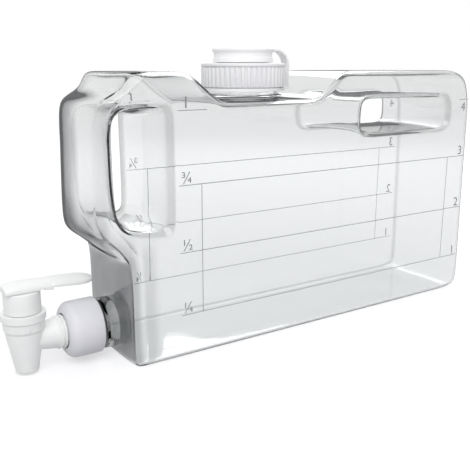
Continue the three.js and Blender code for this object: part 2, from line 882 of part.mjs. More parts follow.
// Stem: barbed tip, rod, spring flange and a flat eye with a slot for the pin
function stemGeometry() {
	const barbTop = stem.tipHeight + stem.barbHeight;
	const flangeTop = stem.flangeBottom + stem.flangeThickness;
	const rod = solid(revolve([
		[0, stem.tipHeight],
		[stem.radius, stem.tipHeight],
		[stem.barbRadius, barbTop],
		[stem.radius, barbTop],
		[stem.radius, stem.flangeBottom],
		[stem.flangeRadius, stem.flangeBottom],
		[stem.flangeRadius, flangeTop],
		[stem.radius, flangeTop],
		[stem.radius, bonnet.top],
		[0, bonnet.top],
	], smallSteps));
	const eyeBottom = bonnet.top - stem.radius;
	const eyeShoulder = bonnet.top + stem.tabRise;
	const eyePoints = [
		[-stem.neckHalfWidth, eyeBottom],
		[stem.neckHalfWidth, eyeBottom],
		[stem.neckHalfWidth, bonnet.top],
		[stem.tabFront, eyeShoulder],
	];
	for (let i = 0; i <= 2 * arcSteps; i++) {
		const angle = Math.PI * i / (2 * arcSteps);
		const side = Math.cos(angle) > 0 ? 1 : -1;
		const reach = (stem.tabFront - stem.tabRadius) * side;
		eyePoints.push([reach + stem.tabRadius * Math.cos(angle), pinHeight + stem.tabRadius * Math.sin(angle)]);
	}
	eyePoints.push([-stem.tabFront, eyeShoulder], [-stem.neckHalfWidth, bonnet.top]);
	const eye = solid(prismAlongY(eyePoints, -stem.tabHalfThickness, stem.tabHalfThickness));
	const slotRadius = pin.radius + pin.slotClearance;
	const slotPoints = [];
	for (let i = 0; i <= 4 * arcSteps; i++) {
		const angle = -Math.PI / 2 + 2 * Math.PI * i / (4 * arcSteps + 1);
		const reach = Math.cos(angle) > 0 ? stem.slotRear - slotRadius / 2 : slotRadius / 2 - stem.slotFront;
		slotPoints.push([reach + slotRadius * Math.cos(angle), pinHeight + slotRadius * Math.sin(angle)]);
	}
	const cutReach = stem.tabHalfThickness + overrun;
	const slot = solid(prismAlongY(slotPoints, -cutReach, cutReach));
	return geometryOf(rod.add(eye).subtract(slot));
}

// Plug: domed silicone disc on the seat with a sleeve gripped by the stem's barb
function plugGeometry() {
	const bottom = tap.seatHeight + seatGap;
	const discTop = bottom + plug.discThickness;
	const grip = stem.radius + plug.clearance;
	const barb = stem.barbRadius + plug.clearance;
	const barbTop = stem.tipHeight + stem.barbHeight + plug.clearance;
	const pocketFloor = stem.tipHeight - seatGap;
	return revolve([
		[0, bottom - plug.domeDepth],
		[tap.spoutBore - plug.domeDepth, bottom],
		[plug.radius, bottom],
		[plug.radius, discTop],
		[plug.sleeveRadius, discTop + plug.domeDepth],
		[plug.sleeveRadius, plug.sleeveTop],
		[grip, plug.sleeveTop],
		[grip, barbTop],
		[barb, barbTop],
		[barb, stem.tipHeight + stem.barbHeight / 2],
		[grip, pocketFloor],
		[0, pocketFloor],
	], smallSteps);
}

// Spring: one unbroken wire, close end turns and open turns between, worked out by its angle
const springBottom = stem.flangeBottom + stem.flangeThickness + seatGap + spring.wireRadius;
const springTop = bonnet.top - bonnet.topWall - seatGap - spring.wireRadius;

function springPoint(turn) {
	const openTurns = spring.turns - 2 * spring.endTurns;
	const endRise = spring.endPitch * spring.endTurns;
	const openPitch = (springTop - springBottom - 2 * endRise) / openTurns;
	let height = springBottom + spring.endPitch * Math.min(turn, spring.endTurns);
	height += openPitch * Math.min(Math.max(turn - spring.endTurns, 0), openTurns);
	height += spring.endPitch * Math.max(turn - spring.turns + spring.endTurns, 0);
	const angle = 2 * Math.PI * turn;
	return new THREE.Vector3(spring.coilRadius * Math.cos(angle), spring.coilRadius * Math.sin(angle), height);
}

function springGeometry() {
	const steps = spring.turns * spring.stepsPerTurn;
	const rings = [];
	for (let i = 0; i <= steps; i++) {
		const turn = i / spring.stepsPerTurn;
		const centre = springPoint(turn);
		const outward = new THREE.Vector3(Math.cos(2 * Math.PI * turn), Math.sin(2 * Math.PI * turn), 0);
		const upward = new THREE.Vector3(0, 0, 1);
		const ring = [];
		for (let side = 0; side < spring.wireSides; side++) {
			const angle = 2 * Math.PI * side / spring.wireSides;
			ring.push(centre.clone()
				.addScaledVector(outward, spring.wireRadius * Math.cos(angle))
				.addScaledVector(upward, spring.wireRadius * Math.sin(angle)));
		}
		rings.push(ring.reverse());
	}
	return loft(rings, (point) => new THREE.Vector2(point.x, point.z));
}

// Least gap between neighbouring turns, measured between points half a turn or more apart
function springLeastGap() {
	let least = Infinity;
	const samples = spring.turns * spring.stepsPerTurn;
	for (let i = 0; i <= samples; i++) {
		for (let j = i + spring.stepsPerTurn / 2; j <= samples; j++) {
			const distance = springPoint(i / spring.stepsPerTurn)
				.distanceTo(springPoint(j / spring.stepsPerTurn));
			least = Math.min(least, distance - 2 * spring.wireRadius);
		}
	}
	return least;
}

// Lever: crowned paddle and head lofted along X, with a notch over the bonnet's edge and a stem pocket
function leverGeometry() {
	const bottom = bonnet.top + seatGap;
	const paddleBottom = bottom + lever.blockDepth;
	const paddleTop = paddleBottom + lever.paddleThickness;
	const headTop = bottom + lever.thinThickness;
	const crestTop = paddleTop + lever.tipRise;
	const tipBottom = paddleBottom + lever.endRound;
	const stations = [
		[-lever.front, lever.headHalfWidth - lever.cornerRadius, paddleBottom, headTop],
		[lever.endRound - lever.front, lever.headHalfWidth - lever.endRound, bottom, headTop],
		[lever.cornerRadius - lever.front, lever.headHalfWidth, bottom, headTop + lever.tipRise],
		[0, lever.headHalfWidth, bottom, bottom + lever.headThickness - lever.tipRise],
		[lever.blockRear - lever.blockDepth, lever.headHalfWidth, bottom, paddleTop],
		[lever.blockRear, lever.headHalfWidth, paddleBottom, paddleTop],
		[lever.blockRear + lever.cornerRadius, lever.paddleHalfWidth, paddleBottom, crestTop],
		[lever.rear - 2 * lever.cornerRadius, lever.paddleHalfWidth, paddleBottom, crestTop],
		[lever.rear - lever.cornerRadius, lever.paddleHalfWidth - lever.endRound, paddleBottom, paddleTop],
		[
			lever.rear - lever.endRound,
			lever.paddleHalfWidth - lever.tipDraw,
			(paddleBottom + tipBottom) / 2,
			paddleTop - lever.endRound,
		],
		[lever.rear, lever.tipHalfWidth, tipBottom, paddleTop - lever.crown - lever.endRound],
	];
	const rings = stations.map(([place, half, low, high]) => {
		const edge = Math.max(high - lever.crown, low + lever.reliefHeight / 2);
		const chamfer = Math.min(lever.crown / 2, half / 4);
		const ring = [
			new THREE.Vector3(place, -half + chamfer, low),
			new THREE.Vector3(place, half - chamfer, low),
			new THREE.Vector3(place, half, low + chamfer / 2),
		];
		for (let i = 0; i <= 2 * arcSteps; i++) {
			const angle = Math.PI * i / (2 * arcSteps);
			ring.push(new THREE.Vector3(place, half * Math.cos(angle), edge + (high - edge) * Math.sin(angle)));
		}
		ring.push(new THREE.Vector3(place, -half, low + chamfer / 2));
		return ring;
	});
	const body = solid(loft(rings, (point) => new THREE.Vector2(point.y, point.z)));
	const reliefRear = lever.fulcrum + lever.reliefLength;
	const wide = lever.paddleHalfWidth + overrun;
	const relief = solid(prismAlongY([
		[lever.fulcrum, bottom],
		[reliefRear, bottom - overrun],
		[reliefRear, bottom + lever.reliefHeight],
	], -wide, wide));
	const pocket = solid(prismAlongY([
		[-lever.pocketHalfLength, bottom - overrun],
		[lever.pocketHalfLength, bottom - overrun],
		[lever.pocketHalfLength - lever.crown, bottom + lever.pocketShoulder],
		[lever.pocketHalfLength / 2, bottom + lever.pocketHeight],
		[-lever.pocketHalfLength / 2, bottom + lever.pocketHeight],
		[-lever.pocketHalfLength + lever.crown, bottom + lever.pocketShoulder],
	], -lever.pocketHalfWidth, lever.pocketHalfWidth));
	const pinBore = solid(revolve(rodProfile(pin.radius + pin.clearance, -wide, wide), smallSteps)
		.rotateX(Math.PI / 2)
		.translate(0, 0, pinHeight));
	return geometryOf(body.subtract(relief).subtract(pocket).subtract(pinBore));
}

function pinGeometry() {
	return revolve(rodProfile(pin.radius, -pin.halfLength, pin.halfLength), smallSteps)
		.rotateX(Math.PI / 2)
		.translate(0, 0, pinHeight);
}

// Assembly
function part(name, geometry, material, x = 0, y = 0, z = 0) {
	const mesh = new THREE.Mesh(geometry, material.clone());
	mesh.name = name;
	mesh.position.set(x, y, z);
	return mesh;
}

const jug = new THREE.Group();
jug.position.x = -middle;
jug.add(part('jug_body', jugBodyGeometry(), clearPlastic));

const closure = new THREE.Group();
closure.position.x = fillNeck.position;
closure.add(part('cap_ring', capGeometry(), whiteCap));
closure.add(part('cap_gasket', capGasketGeometry(), sealRubber));
closure.add(part('pour_lid', lidGeometry(), whiteLid));
closure.add(part('lid_strap', strapGeometry(), whiteLid));
jug.add(closure);

const tapMount = new THREE.Group();
tapMount.position.z = tapNeck.height;
tapMount.add(part('tap_collar_nut', collarGeometry(), collarWhite));
tapMount.add(part('tap_gasket', tapGasketGeometry(), sealRubber));
jug.add(tapMount);

const tapGroup = new THREE.Group();
tapGroup.position.x = valveAxis;
tapGroup.add(part('tap_body', tapBodyGeometry(), tapWhite));
tapGroup.add(part('bonnet_seal', bonnetSealGeometry(), sealRubber));
tapGroup.add(part('tap_bonnet', bonnetGeometry(), tapWhite));
tapGroup.add(part('valve_stem', stemGeometry(), tapWhite));
tapGroup.add(part('valve_plug', plugGeometry(), sealRubber));
tapGroup.add(part('tap_spring', springGeometry(), springSteel));
tapGroup.add(part('tap_lever', leverGeometry(), tapWhite));
tapGroup.add(part('lever_pin', pinGeometry(), tapWhite));
jug.add(tapGroup);

console.log(`least gap between spring turns: ${springLeastGap().toFixed(2)} mm`);

export default jug;
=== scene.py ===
"""Looks of a clear fridge water jug with a press tap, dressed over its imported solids."""

import json
import logging
import math
from contextlib import contextmanager
from dataclasses import dataclass
from enum import Enum
from typing import Any, Callable, Iterator, Optional, Sequence

import bmesh
import bpy
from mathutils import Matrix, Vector

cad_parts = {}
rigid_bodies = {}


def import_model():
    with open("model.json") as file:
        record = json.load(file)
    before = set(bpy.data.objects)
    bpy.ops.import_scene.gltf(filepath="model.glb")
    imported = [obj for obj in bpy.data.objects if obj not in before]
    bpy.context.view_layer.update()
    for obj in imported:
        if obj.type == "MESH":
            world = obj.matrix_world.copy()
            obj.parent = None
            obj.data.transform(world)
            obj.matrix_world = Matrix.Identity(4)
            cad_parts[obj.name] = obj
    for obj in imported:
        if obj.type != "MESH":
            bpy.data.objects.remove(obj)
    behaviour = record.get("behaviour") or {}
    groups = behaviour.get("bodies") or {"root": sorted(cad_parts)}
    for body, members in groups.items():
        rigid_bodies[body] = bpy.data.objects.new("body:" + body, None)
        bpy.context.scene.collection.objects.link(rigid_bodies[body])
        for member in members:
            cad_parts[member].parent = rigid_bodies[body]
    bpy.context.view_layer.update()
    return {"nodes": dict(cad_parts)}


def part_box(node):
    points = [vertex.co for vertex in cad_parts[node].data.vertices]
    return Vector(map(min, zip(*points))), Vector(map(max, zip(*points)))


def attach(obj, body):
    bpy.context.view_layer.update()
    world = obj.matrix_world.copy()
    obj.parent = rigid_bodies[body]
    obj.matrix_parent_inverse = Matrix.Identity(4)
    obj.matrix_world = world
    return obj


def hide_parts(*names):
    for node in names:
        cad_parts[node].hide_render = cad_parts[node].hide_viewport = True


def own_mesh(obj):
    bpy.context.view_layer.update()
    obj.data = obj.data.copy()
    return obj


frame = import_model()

LOG = logging.getLogger("jug")
MM = 0.001
WHITE = "#ffffff"

# Height of the tap's axis above the table, in millimetres.
TAP_HEIGHT = 22.6
# Least share of a normal that has to point a way for its face to count as facing it.
FACING = 0.9
# Colours of the mix node go by number, because its sockets share their names.
MIX_FIRST, MIX_SECOND, MIX_RESULT = 6, 7, 2

Point = tuple[float, float]
Span = tuple[float, float]
Place = tuple[float, float, float]
Test = Callable[[Any], bool]


def linear(code: str) -> tuple[float, float, float, float]:
    """Turn an sRGB hex colour into linear light.

    Args:
        code: Six hex digits after a hash sign.

    Returns:
        Red, green, blue and an alpha of 1.
    """
    shares = [int(code[i:i + 2], 16) / 255 for i in (1, 3, 5)]
    red, green, blue = (s / 12.92 if s <= 0.04045 else ((s + 0.055) / 1.055) ** 2.4 for s in shares)
    return red, green, blue, 1.0


def add_node(
    tree: bpy.types.NodeTree,
    kind: str,
    settings: Optional[dict[Any, Any]] = None,
    links: Optional[dict[Any, bpy.types.NodeSocket]] = None,
) -> bpy.types.Node:
    """Add a node with its settings and links.

    Args:
        tree: The node tree that takes the node.
        kind: The node's type.
        settings: Values of its attributes, or else of its inputs, by name or number.
        links: Output sockets that feed its inputs, by name or number.

    Returns:
        The new node.
    """
    node = tree.nodes.new(kind)
    for name, value in (settings or {}).items():
        if isinstance(name, str) and hasattr(node, name):
            setattr(node, name, value)
        else:
            node.inputs[name].default_value = value
    for name, source in (links or {}).items():
        tree.links.new(source, node.inputs[name])
    return node


def blank_material(name: str) -> tuple[bpy.types.Material, bpy.types.NodeTree]:
    """Make a material whose node tree is empty.

    Args:
        name: The material's name.

    Returns:
        The material and its node tree.
    """
    material = bpy.data.materials.new(name)
    material.use_nodes = True
    material.node_tree.nodes.clear()
    return material, material.node_tree


class Ray(Enum):
    """Kinds of ray that see the studio's white instead of its light."""

    CAMERA = "Is Camera Ray"
    GLOSSY = "Is Glossy Ray"
    TRANSMISSION = "Is Transmission Ray"


def seen_directly(tree: bpy.types.NodeTree) -> bpy.types.NodeSocket:
    """Give 1 for rays that look at the studio, and 0 for rays that gather its light.

    Args:
        tree: The node tree of the world or of the floor.

    Returns:
        The socket that holds the answer.
    """
    path = add_node(tree, "ShaderNodeLightPath")
    total = path.outputs[Ray.CAMERA.value]
    for ray in (Ray.GLOSSY, Ray.TRANSMISSION):
        adder = add_node(
            tree, "ShaderNodeMath", {"operation": "MAXIMUM"}, {0: total, 1: path.outputs[ray.value]}
        )
        total = adder.outputs["Value"]
    return total


@dataclass(frozen=True)
class ClearMoulding:
    """Blow-moulded PET: clear and glossy, with painted shade in its colour where a wall is seen
    edge on or marked as shaded, standing in for the dark that the glass refracts and reflects.
    """

    name: str = "clear_blow_moulded_pet"
    facing: str = "#eff0f0"
    # Grey of the painted shade, which clear PET does not have of its own.
    edge: str = "#474a4c"
    roughness: float = 0.02
    ior: float = 1.5
    shine: float = 0.5
    # Where the painted shade at edge-on walls starts and is full, and how much clearness it takes
    # away there.
    edge_blend: float = 0.3
    edge_start: float = 0.5
    edge_end: float = 0.76
    edge_cover: float = 0.8
    wave_length: float = 55.0
    wave_height: float = 0.35
    # Attributes that carry painted shade: its depth at marked spots, and a push towards the edge-on
    # shade.
    painted_shade: str = "thick_share"
    turn: str = "turn_share"

    def material(self) -> bpy.types.Material:
        """Make the plastic, which lets lamp light through as well as sight, and paints grey shade
        into its colour at edge-on walls and at marked spots.

        Returns:
            The material.
        """
        material, tree = blank_material(self.name)
        # Painted shade: the colour turns grey and less clear where the wall is seen edge on, and
        # grey where the attributes mark it.
        rim = add_node(tree, "ShaderNodeLayerWeight", {"Blend": self.edge_blend})
        turn = add_node(tree, "ShaderNodeAttribute", {"attribute_name": self.turn})
        facing = add_node(
            tree, "ShaderNodeMath", {"operation": "ADD"},
            {0: rim.outputs["Facing"], 1: turn.outputs["Fac"]},
        )
        turned = add_node(
            tree, "ShaderNodeMapRange",
            {"From Min": self.edge_start, "From Max": self.edge_end},
            {"Value": facing.outputs[0]},
        )
        painted_shade = add_node(tree, "ShaderNodeAttribute", {"attribute_name": self.painted_shade})
        depth = add_node(
            tree, "ShaderNodeMath", {"operation": "ADD", "use_clamp": True},
            {0: turned.outputs[0], 1: painted_shade.outputs["Fac"]},
        )
        clearness = add_node(
            tree, "ShaderNodeMapRange",
            {"To Min": 1.0, "To Max": 1 - self.edge_cover}, {"Value": turned.outputs[0]},
        )
        shine = add_node(
            tree, "ShaderNodeMapRange",
            {"To Min": self.shine, "To Max": 0.0}, {"Value": turned.outputs[0]},
        )
        tint = add_node(
            tree, "ShaderNodeMix",
            {"data_type": "RGBA", MIX_FIRST: linear(self.facing), MIX_SECOND: linear(self.edge)},
            {0: depth.outputs[0]},
        )
        place = add_node(tree, "ShaderNodeTexCoord")
        wave = add_node(
            tree, "ShaderNodeTexNoise",
            {"Scale": 1 / (self.wave_length * MM), "Detail": 1.0},
            {"Vector": place.outputs["Object"]},
        )
        bump = add_node(
            tree, "ShaderNodeBump",
            {"Strength": 1.0, "Distance": self.wave_height * MM}, {"Height": wave.outputs[0]},
        )
        plastic = add_node(
            tree, "ShaderNodeBsdfPrincipled",
            {"Roughness": self.roughness, "IOR": self.ior},
            {
                "Base Color": tint.outputs[MIX_RESULT],
                "Normal": bump.outputs["Normal"],
                "Transmission Weight": clearness.outputs[0],
                "Specular IOR Level": shine.outputs[0],
            },
        )
        path = add_node(tree, "ShaderNodeLightPath")
        window = add_node(tree, "ShaderNodeBsdfTransparent", {"Color": linear(self.facing)})
        both = add_node(
            tree, "ShaderNodeMixShader", None,
            {0: path.outputs["Is Shadow Ray"], 1: plastic.outputs[0], 2: window.outputs[0]},
        )
        add_node(tree, "ShaderNodeOutputMaterial", None, {"Surface": both.outputs[0]})
        return material


@dataclass(frozen=True)
class SatinMoulding:
    """Injection-moulded polyolefin: a satin white with a faint spark-eroded grain."""

    name: str
    colour: str
    shade: str
    roughness: float = 0.42
    smoother: float = 0.04
    rougher: float = 0.06
    ior: float = 1.49
    # The real grain is finer than 0.1 mm. It is drawn coarser, so that it shows.
    grain: float = 0.6
    grain_height: float = 0.012
    cloud: float = 18.0
    glow: float = 0.0
    glow_depth: float = 1.6
    glow_colour: Place = (1.0, 0.95, 0.9)

    def material(self) -> bpy.types.Material:
        """Make the plastic, with clouds in its colour and a grain in its skin.

        Returns:
            The material.
        """
        material, tree = blank_material(self.name)
        place = add_node(tree, "ShaderNodeTexCoord")
        cloud = add_node(
            tree, "ShaderNodeTexNoise",
            {"Scale": 1 / (self.cloud * MM), "Detail": 3.0}, {"Vector": place.outputs["Object"]},
        )
        colour = add_node(
            tree, "ShaderNodeMix",
            {"data_type": "RGBA", MIX_FIRST: linear(self.colour), MIX_SECOND: linear(self.shade)},
            {0: cloud.outputs[0]},
        )
        grain = add_node(
            tree, "ShaderNodeTexNoise",
            {"Scale": 1 / (self.grain * MM), "Detail": 2.0}, {"Vector": place.outputs["Object"]},
        )
        bump = add_node(
            tree, "ShaderNodeBump",
            {"Strength": 1.0, "Distance": self.grain_height * MM}, {"Height": grain.outputs[0]},
        )
        rough = add_node(
            tree, "ShaderNodeMapRange",
            {"To Min": self.roughness - self.smoother, "To Max": self.roughness + self.rougher},
            {"Value": grain.outputs[0]},
        )
        plastic = add_node(
            tree, "ShaderNodeBsdfPrincipled",
            {
                "IOR": self.ior,
                "Subsurface Weight": self.glow,
                "Subsurface Radius": self.glow_colour,
                "Subsurface Scale": self.glow_depth * MM,
            },
            {
                "Base Color": colour.outputs[MIX_RESULT],
                "Roughness": rough.outputs[0],
                "Normal": bump.outputs["Normal"],
            },
        )
        add_node(tree, "ShaderNodeOutputMaterial", None, {"Surface": plastic.outputs[0]})
        return material


@dataclass(frozen=True)
class SpringWire:
    """Drawn stainless wire: bright, with fine lines along the drawing."""

    name: str = "drawn_stainless_wire"
    colour: str = "#b9bbbd"
    roughness: float = 0.28
    smoother: float = 0.08
    rougher: float = 0.1
    # The real lines are finer than 0.05 mm. They are drawn coarser, so that they show.
    line: float = 0.3

    def material(self) -> bpy.types.Material:
        """Make the wire.

        Returns:
            The material.
        """
        material, tree = blank_material(self.name)
        place = add_node(tree, "ShaderNodeTexCoord")
        lines = add_node(
            tree, "ShaderNodeTexNoise",
            {"Scale": 1 / (self.line * MM), "Detail": 2.0}, {"Vector": place.outputs["Object"]},
        )
        rough = add_node(
            tree, "ShaderNodeMapRange",
            {"To Min": self.roughness - self.smoother, "To Max": self.roughness + self.rougher},
            {"Value": lines.outputs[0]},
        )
        steel = add_node(
            tree, "ShaderNodeBsdfPrincipled",
            {"Base Color": linear(self.colour), "Metallic": 1.0}, {"Roughness": rough.outputs[0]},
        )
        add_node(tree, "ShaderNodeOutputMaterial", None, {"Surface": steel.outputs[0]})
        return material


CLEAR = ClearMoulding()
CAP_WHITE = SatinMoulding("satin_white_polypropylene", "#eeeef0", "#e8e8eb")
LID_WHITE = SatinMoulding("satin_white_lid_polypropylene", "#f7f7f8", "#f2f2f3")
COLLAR_WHITE = SatinMoulding(
    "satin_white_collar_polypropylene", "#e5e5ea", "#dfdfe4", roughness=0.5
)
TAP_WHITE = SatinMoulding(
    "natural_white_polyethylene", "#f4f5f4", "#eff0f0", roughness=0.36, glow=0.25
)
SILICONE = SatinMoulding("translucent_silicone", "#c6c9cc", "#bcc0c3", roughness=0.6, glow=0.2)
WIRE = SpringWire()
INK = SatinMoulding("grey_screen_ink", "#8a8d90", "#7f8285", roughness=0.5)


def clear_bench() -> None:
    """Leave object mode with nothing selected."""
    if bpy.context.object and bpy.context.object.mode != "OBJECT":
        bpy.ops.object.mode_set(mode="OBJECT")
    bpy.ops.object.select_all(action="DESELECT")


class Axis(Enum):
    """Direction about which a piece is turned."""

    UP = "z"
    ALONG = "x"


@dataclass(frozen=True)
class Station:
    """Where a drawn piece's section stands, and how large it is there, in millimetres."""

    place: float
    half: float
    low: float
    high: float

    def height(self) -> float:
        """Height of the section."""
        return self.high - self.low

    def middle(self) -> Vector:
        """Middle of the section, in metres."""
        return Vector((self.place, 0.0, (self.low + self.high) / 2)) * MM

    def point(self, across: float, up: float) -> Vector:
        """Point of the section, in metres.

        Args:
            across: Place across the width, as a share of half of it.
            up: Height, as a share of half of it.

        Returns:
            The point.
        """
        middle = (self.low + self.high) / 2
        return Vector((self.place, across * self.half, middle + up * self.height() / 2)) * MM


def arc(centre: Point, radius: float, start: float, end: float, steps: int = 8) -> list[Point]:
    """Points along an arc.

    Args:
        centre: Its centre.
        radius: Its radius.
        start: Angle of the first point, in degrees.
        end: Angle of the last point.
        steps: Number of pieces.

    Returns:
        The points in order.
    """
    turns = [math.radians(start + (end - start) * i / steps) for i in range(steps + 1)]
    return [(centre[0] + radius * math.cos(t), centre[1] + radius * math.sin(t)) for t in turns]


def ribbon(line: Sequence[Point], thickness: float) -> list[Point]:
    """Outline of a ribbon about its middle line.

    Args:
        line: Points of the middle line.
        thickness: Thickness of the ribbon.

    Returns:
        The closed outline.
    """
    sides: tuple[list[Point], list[Point]] = ([], [])
    for i, (x, z) in enumerate(line):
        before = line[max(i - 1, 0)]
        after = line[min(i + 1, len(line) - 1)]
        along = Vector((after[0] - before[0], after[1] - before[1])).normalized()
        for side, points in ((1, sides[0]), (-1, sides[1])):
            reach = side * thickness / 2
            points.append((x - along.y * reach, z + along.x * reach))
    return sides[0] + sides[1][::-1]


class Part(Enum):
    """Parts of a mesh that can be picked, each with the name of its list."""

    FACE = "faces"
    EDGE = "edges"


class Bench:
    """One mesh on the bench, shaped with Blender's own tools and dressed when it is done."""

    def __init__(self, name: str) -> None:
        """Take the primitive that was just added, with its place moved into its mesh.

        Args:
            name: The piece's name.
        """
        self.shape = bpy.context.object
        self.shape.name = name
        self.shape.data.name = name
        bpy.ops.object.transform_apply(location=True, rotation=True, scale=True)

    @classmethod
    def ring(cls, name: str, count: int, fill: str = "NGON") -> "Bench":
        """Add a flat ring of points, whose places are set after that.

        Args:
            name: The piece's name.
            count: Number of points.
            fill: How the ring is filled, in Blender's words.

        Returns:
            The ring.
        """
        clear_bench()
        bpy.ops.mesh.primitive_circle_add(vertices=count, radius=1.0, fill_type=fill)
        return cls(name)

    @classmethod
    def turned(
        cls,
        name: str,
        outline: Sequence[Point],
        centre: Vector,
        axis: Axis = Axis.UP,
        sides: int = 96,
    ) -> "Bench":
        """Turn a closed outline about an axis, from a ring of points spun once round.

        Args:
            name: The piece's name.
            outline: Radius and place along the axis of each point, in millimetres.
            centre: A point on the axis, in metres, from which places are counted.
            axis: The axis of the turning.
            sides: Number of steps round the axis.

        Returns:
            The turned piece.
        """
        piece = cls.ring(name, len(outline), "NOTHING")
        for vertex, (radius, place) in zip(piece.shape.data.vertices, outline):
            if axis is Axis.UP:
                vertex.co = centre + Vector((radius, 0.0, place)) * MM
            else:
                vertex.co = centre + Vector((place, 0.0, radius)) * MM
        direction = (0.0, 0.0, 1.0) if axis is Axis.UP else (1.0, 0.0, 0.0)
        with piece.editing():
            bpy.ops.mesh.spin(
                steps=sides, angle=math.tau, center=centre, axis=direction, use_auto_merge=True
            )
        piece.close_up()
        return piece

    @classmethod
    def slab(cls, name: str, outline: Sequence[Point], half: float) -> "Bench":
        """Fill a side outline and push it across the middle of the width.

        Args:
            name: The piece's name.
            outline: Place along X and height of each point, in millimetres.
            half: Half of the slab's width.

        Returns:
            The slab.
        """
        piece = cls.ring(name, len(outline))
        for vertex, (place, height) in zip(piece.shape.data.vertices, outline):
            vertex.co = Vector((place, -half, height)) * MM
        with piece.editing():
            step = (0.0, 2 * half * MM, 0.0)
            bpy.ops.mesh.extrude_region_move(TRANSFORM_OT_translate={"value": step})
        piece.close_up()
        return piece

    @classmethod
    def drawn(cls, name: str, shares: Sequence[Point], stations: Sequence[Station]) -> "Bench":
        """Draw a section out along X, and resize it at every station.

        Args:
            name: The piece's name.
            shares: Place across the width and up, from -1 to 1, of each point of the section.
            stations: The places at which the section is set, in order.

        Returns:
            The drawn piece.
        """
        piece = cls.ring(name, len(shares))
        for vertex, (across, up) in zip(piece.shape.data.vertices, shares):
            vertex.co = stations[0].point(across, up)
        with piece.editing():
            for before, after in zip(stations, stations[1:]):
                step = after.middle() - before.middle()
                bpy.ops.mesh.extrude_region_move(TRANSFORM_OT_translate={"value": step})
                growth = (1.0, after.half / before.half, after.height() / before.height())
                bpy.ops.transform.resize(value=growth, center_override=after.middle())
        piece.close_up()
        return piece

    def choose(self) -> None:
        """Leave edit mode, and make the piece the only one selected and the active one."""
        clear_bench()
        self.shape.select_set(True)
        bpy.context.view_layer.objects.active = self.shape

    @contextmanager
    def editing(self) -> Iterator[None]:
        """Open the piece in edit mode for a while, with all of it selected.

        Yields:
            Nothing, while the piece is open.
        """
        self.choose()
        bpy.ops.object.mode_set(mode="EDIT")
        bpy.ops.mesh.select_all(action="SELECT")
        yield
        bpy.ops.object.mode_set(mode="OBJECT")

    def close_up(self, reach: float = 0.002) -> None:
        """Merge doubled points, drop loose edges and turn all faces outwards.

        Args:
            reach: Distance within which points merge, in millimetres.
        """
        with self.editing():
            bpy.ops.mesh.remove_doubles(threshold=reach * MM)
            bpy.ops.mesh.delete_loose(use_verts=True, use_edges=True, use_faces=False)
            bpy.ops.mesh.select_all(action="SELECT")
            bpy.ops.mesh.normals_make_consistent(inside=False)

    def pick(self, part: Part, test: Test) -> None:
        """Select the faces or the edges that pass a test, while the piece is open in edit mode.

        Args:
            part: Which of the two are looked at.
            test: Takes a face or an edge, and says whether it is selected.
        """
        bpy.ops.mesh.select_mode(type=part.name)
        bpy.ops.mesh.select_all(action="DESELECT")
        mesh = bmesh.from_edit_mesh(self.shape.data)
        for element in getattr(mesh, part.value):
            if test(element):
                element.select_set(True)
        bmesh.update_edit_mesh(self.shape.data)

    def modify(self, kind: str, **settings: Any) -> None:
        """Put a modifier on the piece and apply it.

        Args:
            kind: The modifier's type.
            **settings: Its settings by name.
        """
        self.choose()
        modifier = self.shape.modifiers.new(kind.lower(), kind)
        for name, value in settings.items():
            setattr(modifier, name, value)
        bpy.ops.object.modifier_apply(modifier=modifier.name)

    def soften(self, width: float, segments: int = 2, angle: float = 32.0) -> None:
        """Round the piece's sharp edges.

        Args:
            width: Width of the rounding, in millimetres.
            segments: Number of faces across it.
            angle: Least angle of an edge that is rounded, in degrees.
        """
        self.modify(
            "BEVEL",
            width=width * MM,
            segments=segments,
            limit_method="ANGLE",
            angle_limit=math.radians(angle),
        )

    def combine(self, other: "Bench", operation: str) -> None:
        """Join another piece to this one, or cut this one by it, and clear the other away.

        Args:
            other: The piece that is used up.
            operation: UNION or DIFFERENCE.
        """
        self.modify("BOOLEAN", object=other.shape, operation=operation, solver="EXACT")
        bpy.data.objects.remove(other.shape)

    def drill(
        self, radius: float, span: Span, centre: Vector, axis: Axis = Axis.UP
    ) -> None:
        """Cut a round bore.

        Args:
            radius: Its radius, in millimetres.
            span: Where it starts and ends along its axis.
            centre: A point on the axis, in metres, from which places are counted.
            axis: The direction of the axis.
        """
        start, end = span
        rod = ((0, start), (radius, start), (radius, end), (0, end))
        self.combine(Bench.turned(self.shape.name + "_bore", rod, centre, axis), "DIFFERENCE")

    def dress(self, finish: Any, body: str, slot: str, *nodes: str, angle: float = 38.0) -> None:
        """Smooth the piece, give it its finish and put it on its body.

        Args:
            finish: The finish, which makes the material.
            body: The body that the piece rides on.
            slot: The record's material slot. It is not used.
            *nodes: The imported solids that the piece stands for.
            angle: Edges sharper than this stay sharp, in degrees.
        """
        self.choose()
        bpy.ops.object.shade_smooth_by_angle(angle=math.radians(angle))
        self.shape.data.materials.clear()
        self.shape.data.materials.append(material_for(finish))
        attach(self.shape, body)
        if nodes:
            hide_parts(*nodes)
        LOG.info("%s: %d faces", self.shape.name, len(self.shape.data.polygons))


MADE: dict[str, bpy.types.Material] = {}


def material_for(finish: Any) -> bpy.types.Material:
    """Make a finish's material once and hand it out again after that.

    Args:
        finish: The finish.

    Returns:
        Its material.
    """
    if finish.name not in MADE:
        MADE[finish.name] = finish.material()
    return MADE[finish.name]


def ease(value: float, start: float, end: float) -> float:
    """Rise evenly from 0 at one place to 1 at another, and stay there.

    Args:
        value: Where to look.
        start: Where the rise starts.
        end: Where it ends.

    Returns:
        A share from 0 to 1.
    """
    return min(max((value - start) / (end - start), 0.0), 1.0)


def fill_axis() -> Vector:
    """Foot of the axis of the fill neck and its cap, in metres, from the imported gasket."""
    low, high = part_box("cap_gasket")
    return Vector(((low.x + high.x) / 2, 0.0, 0.0))


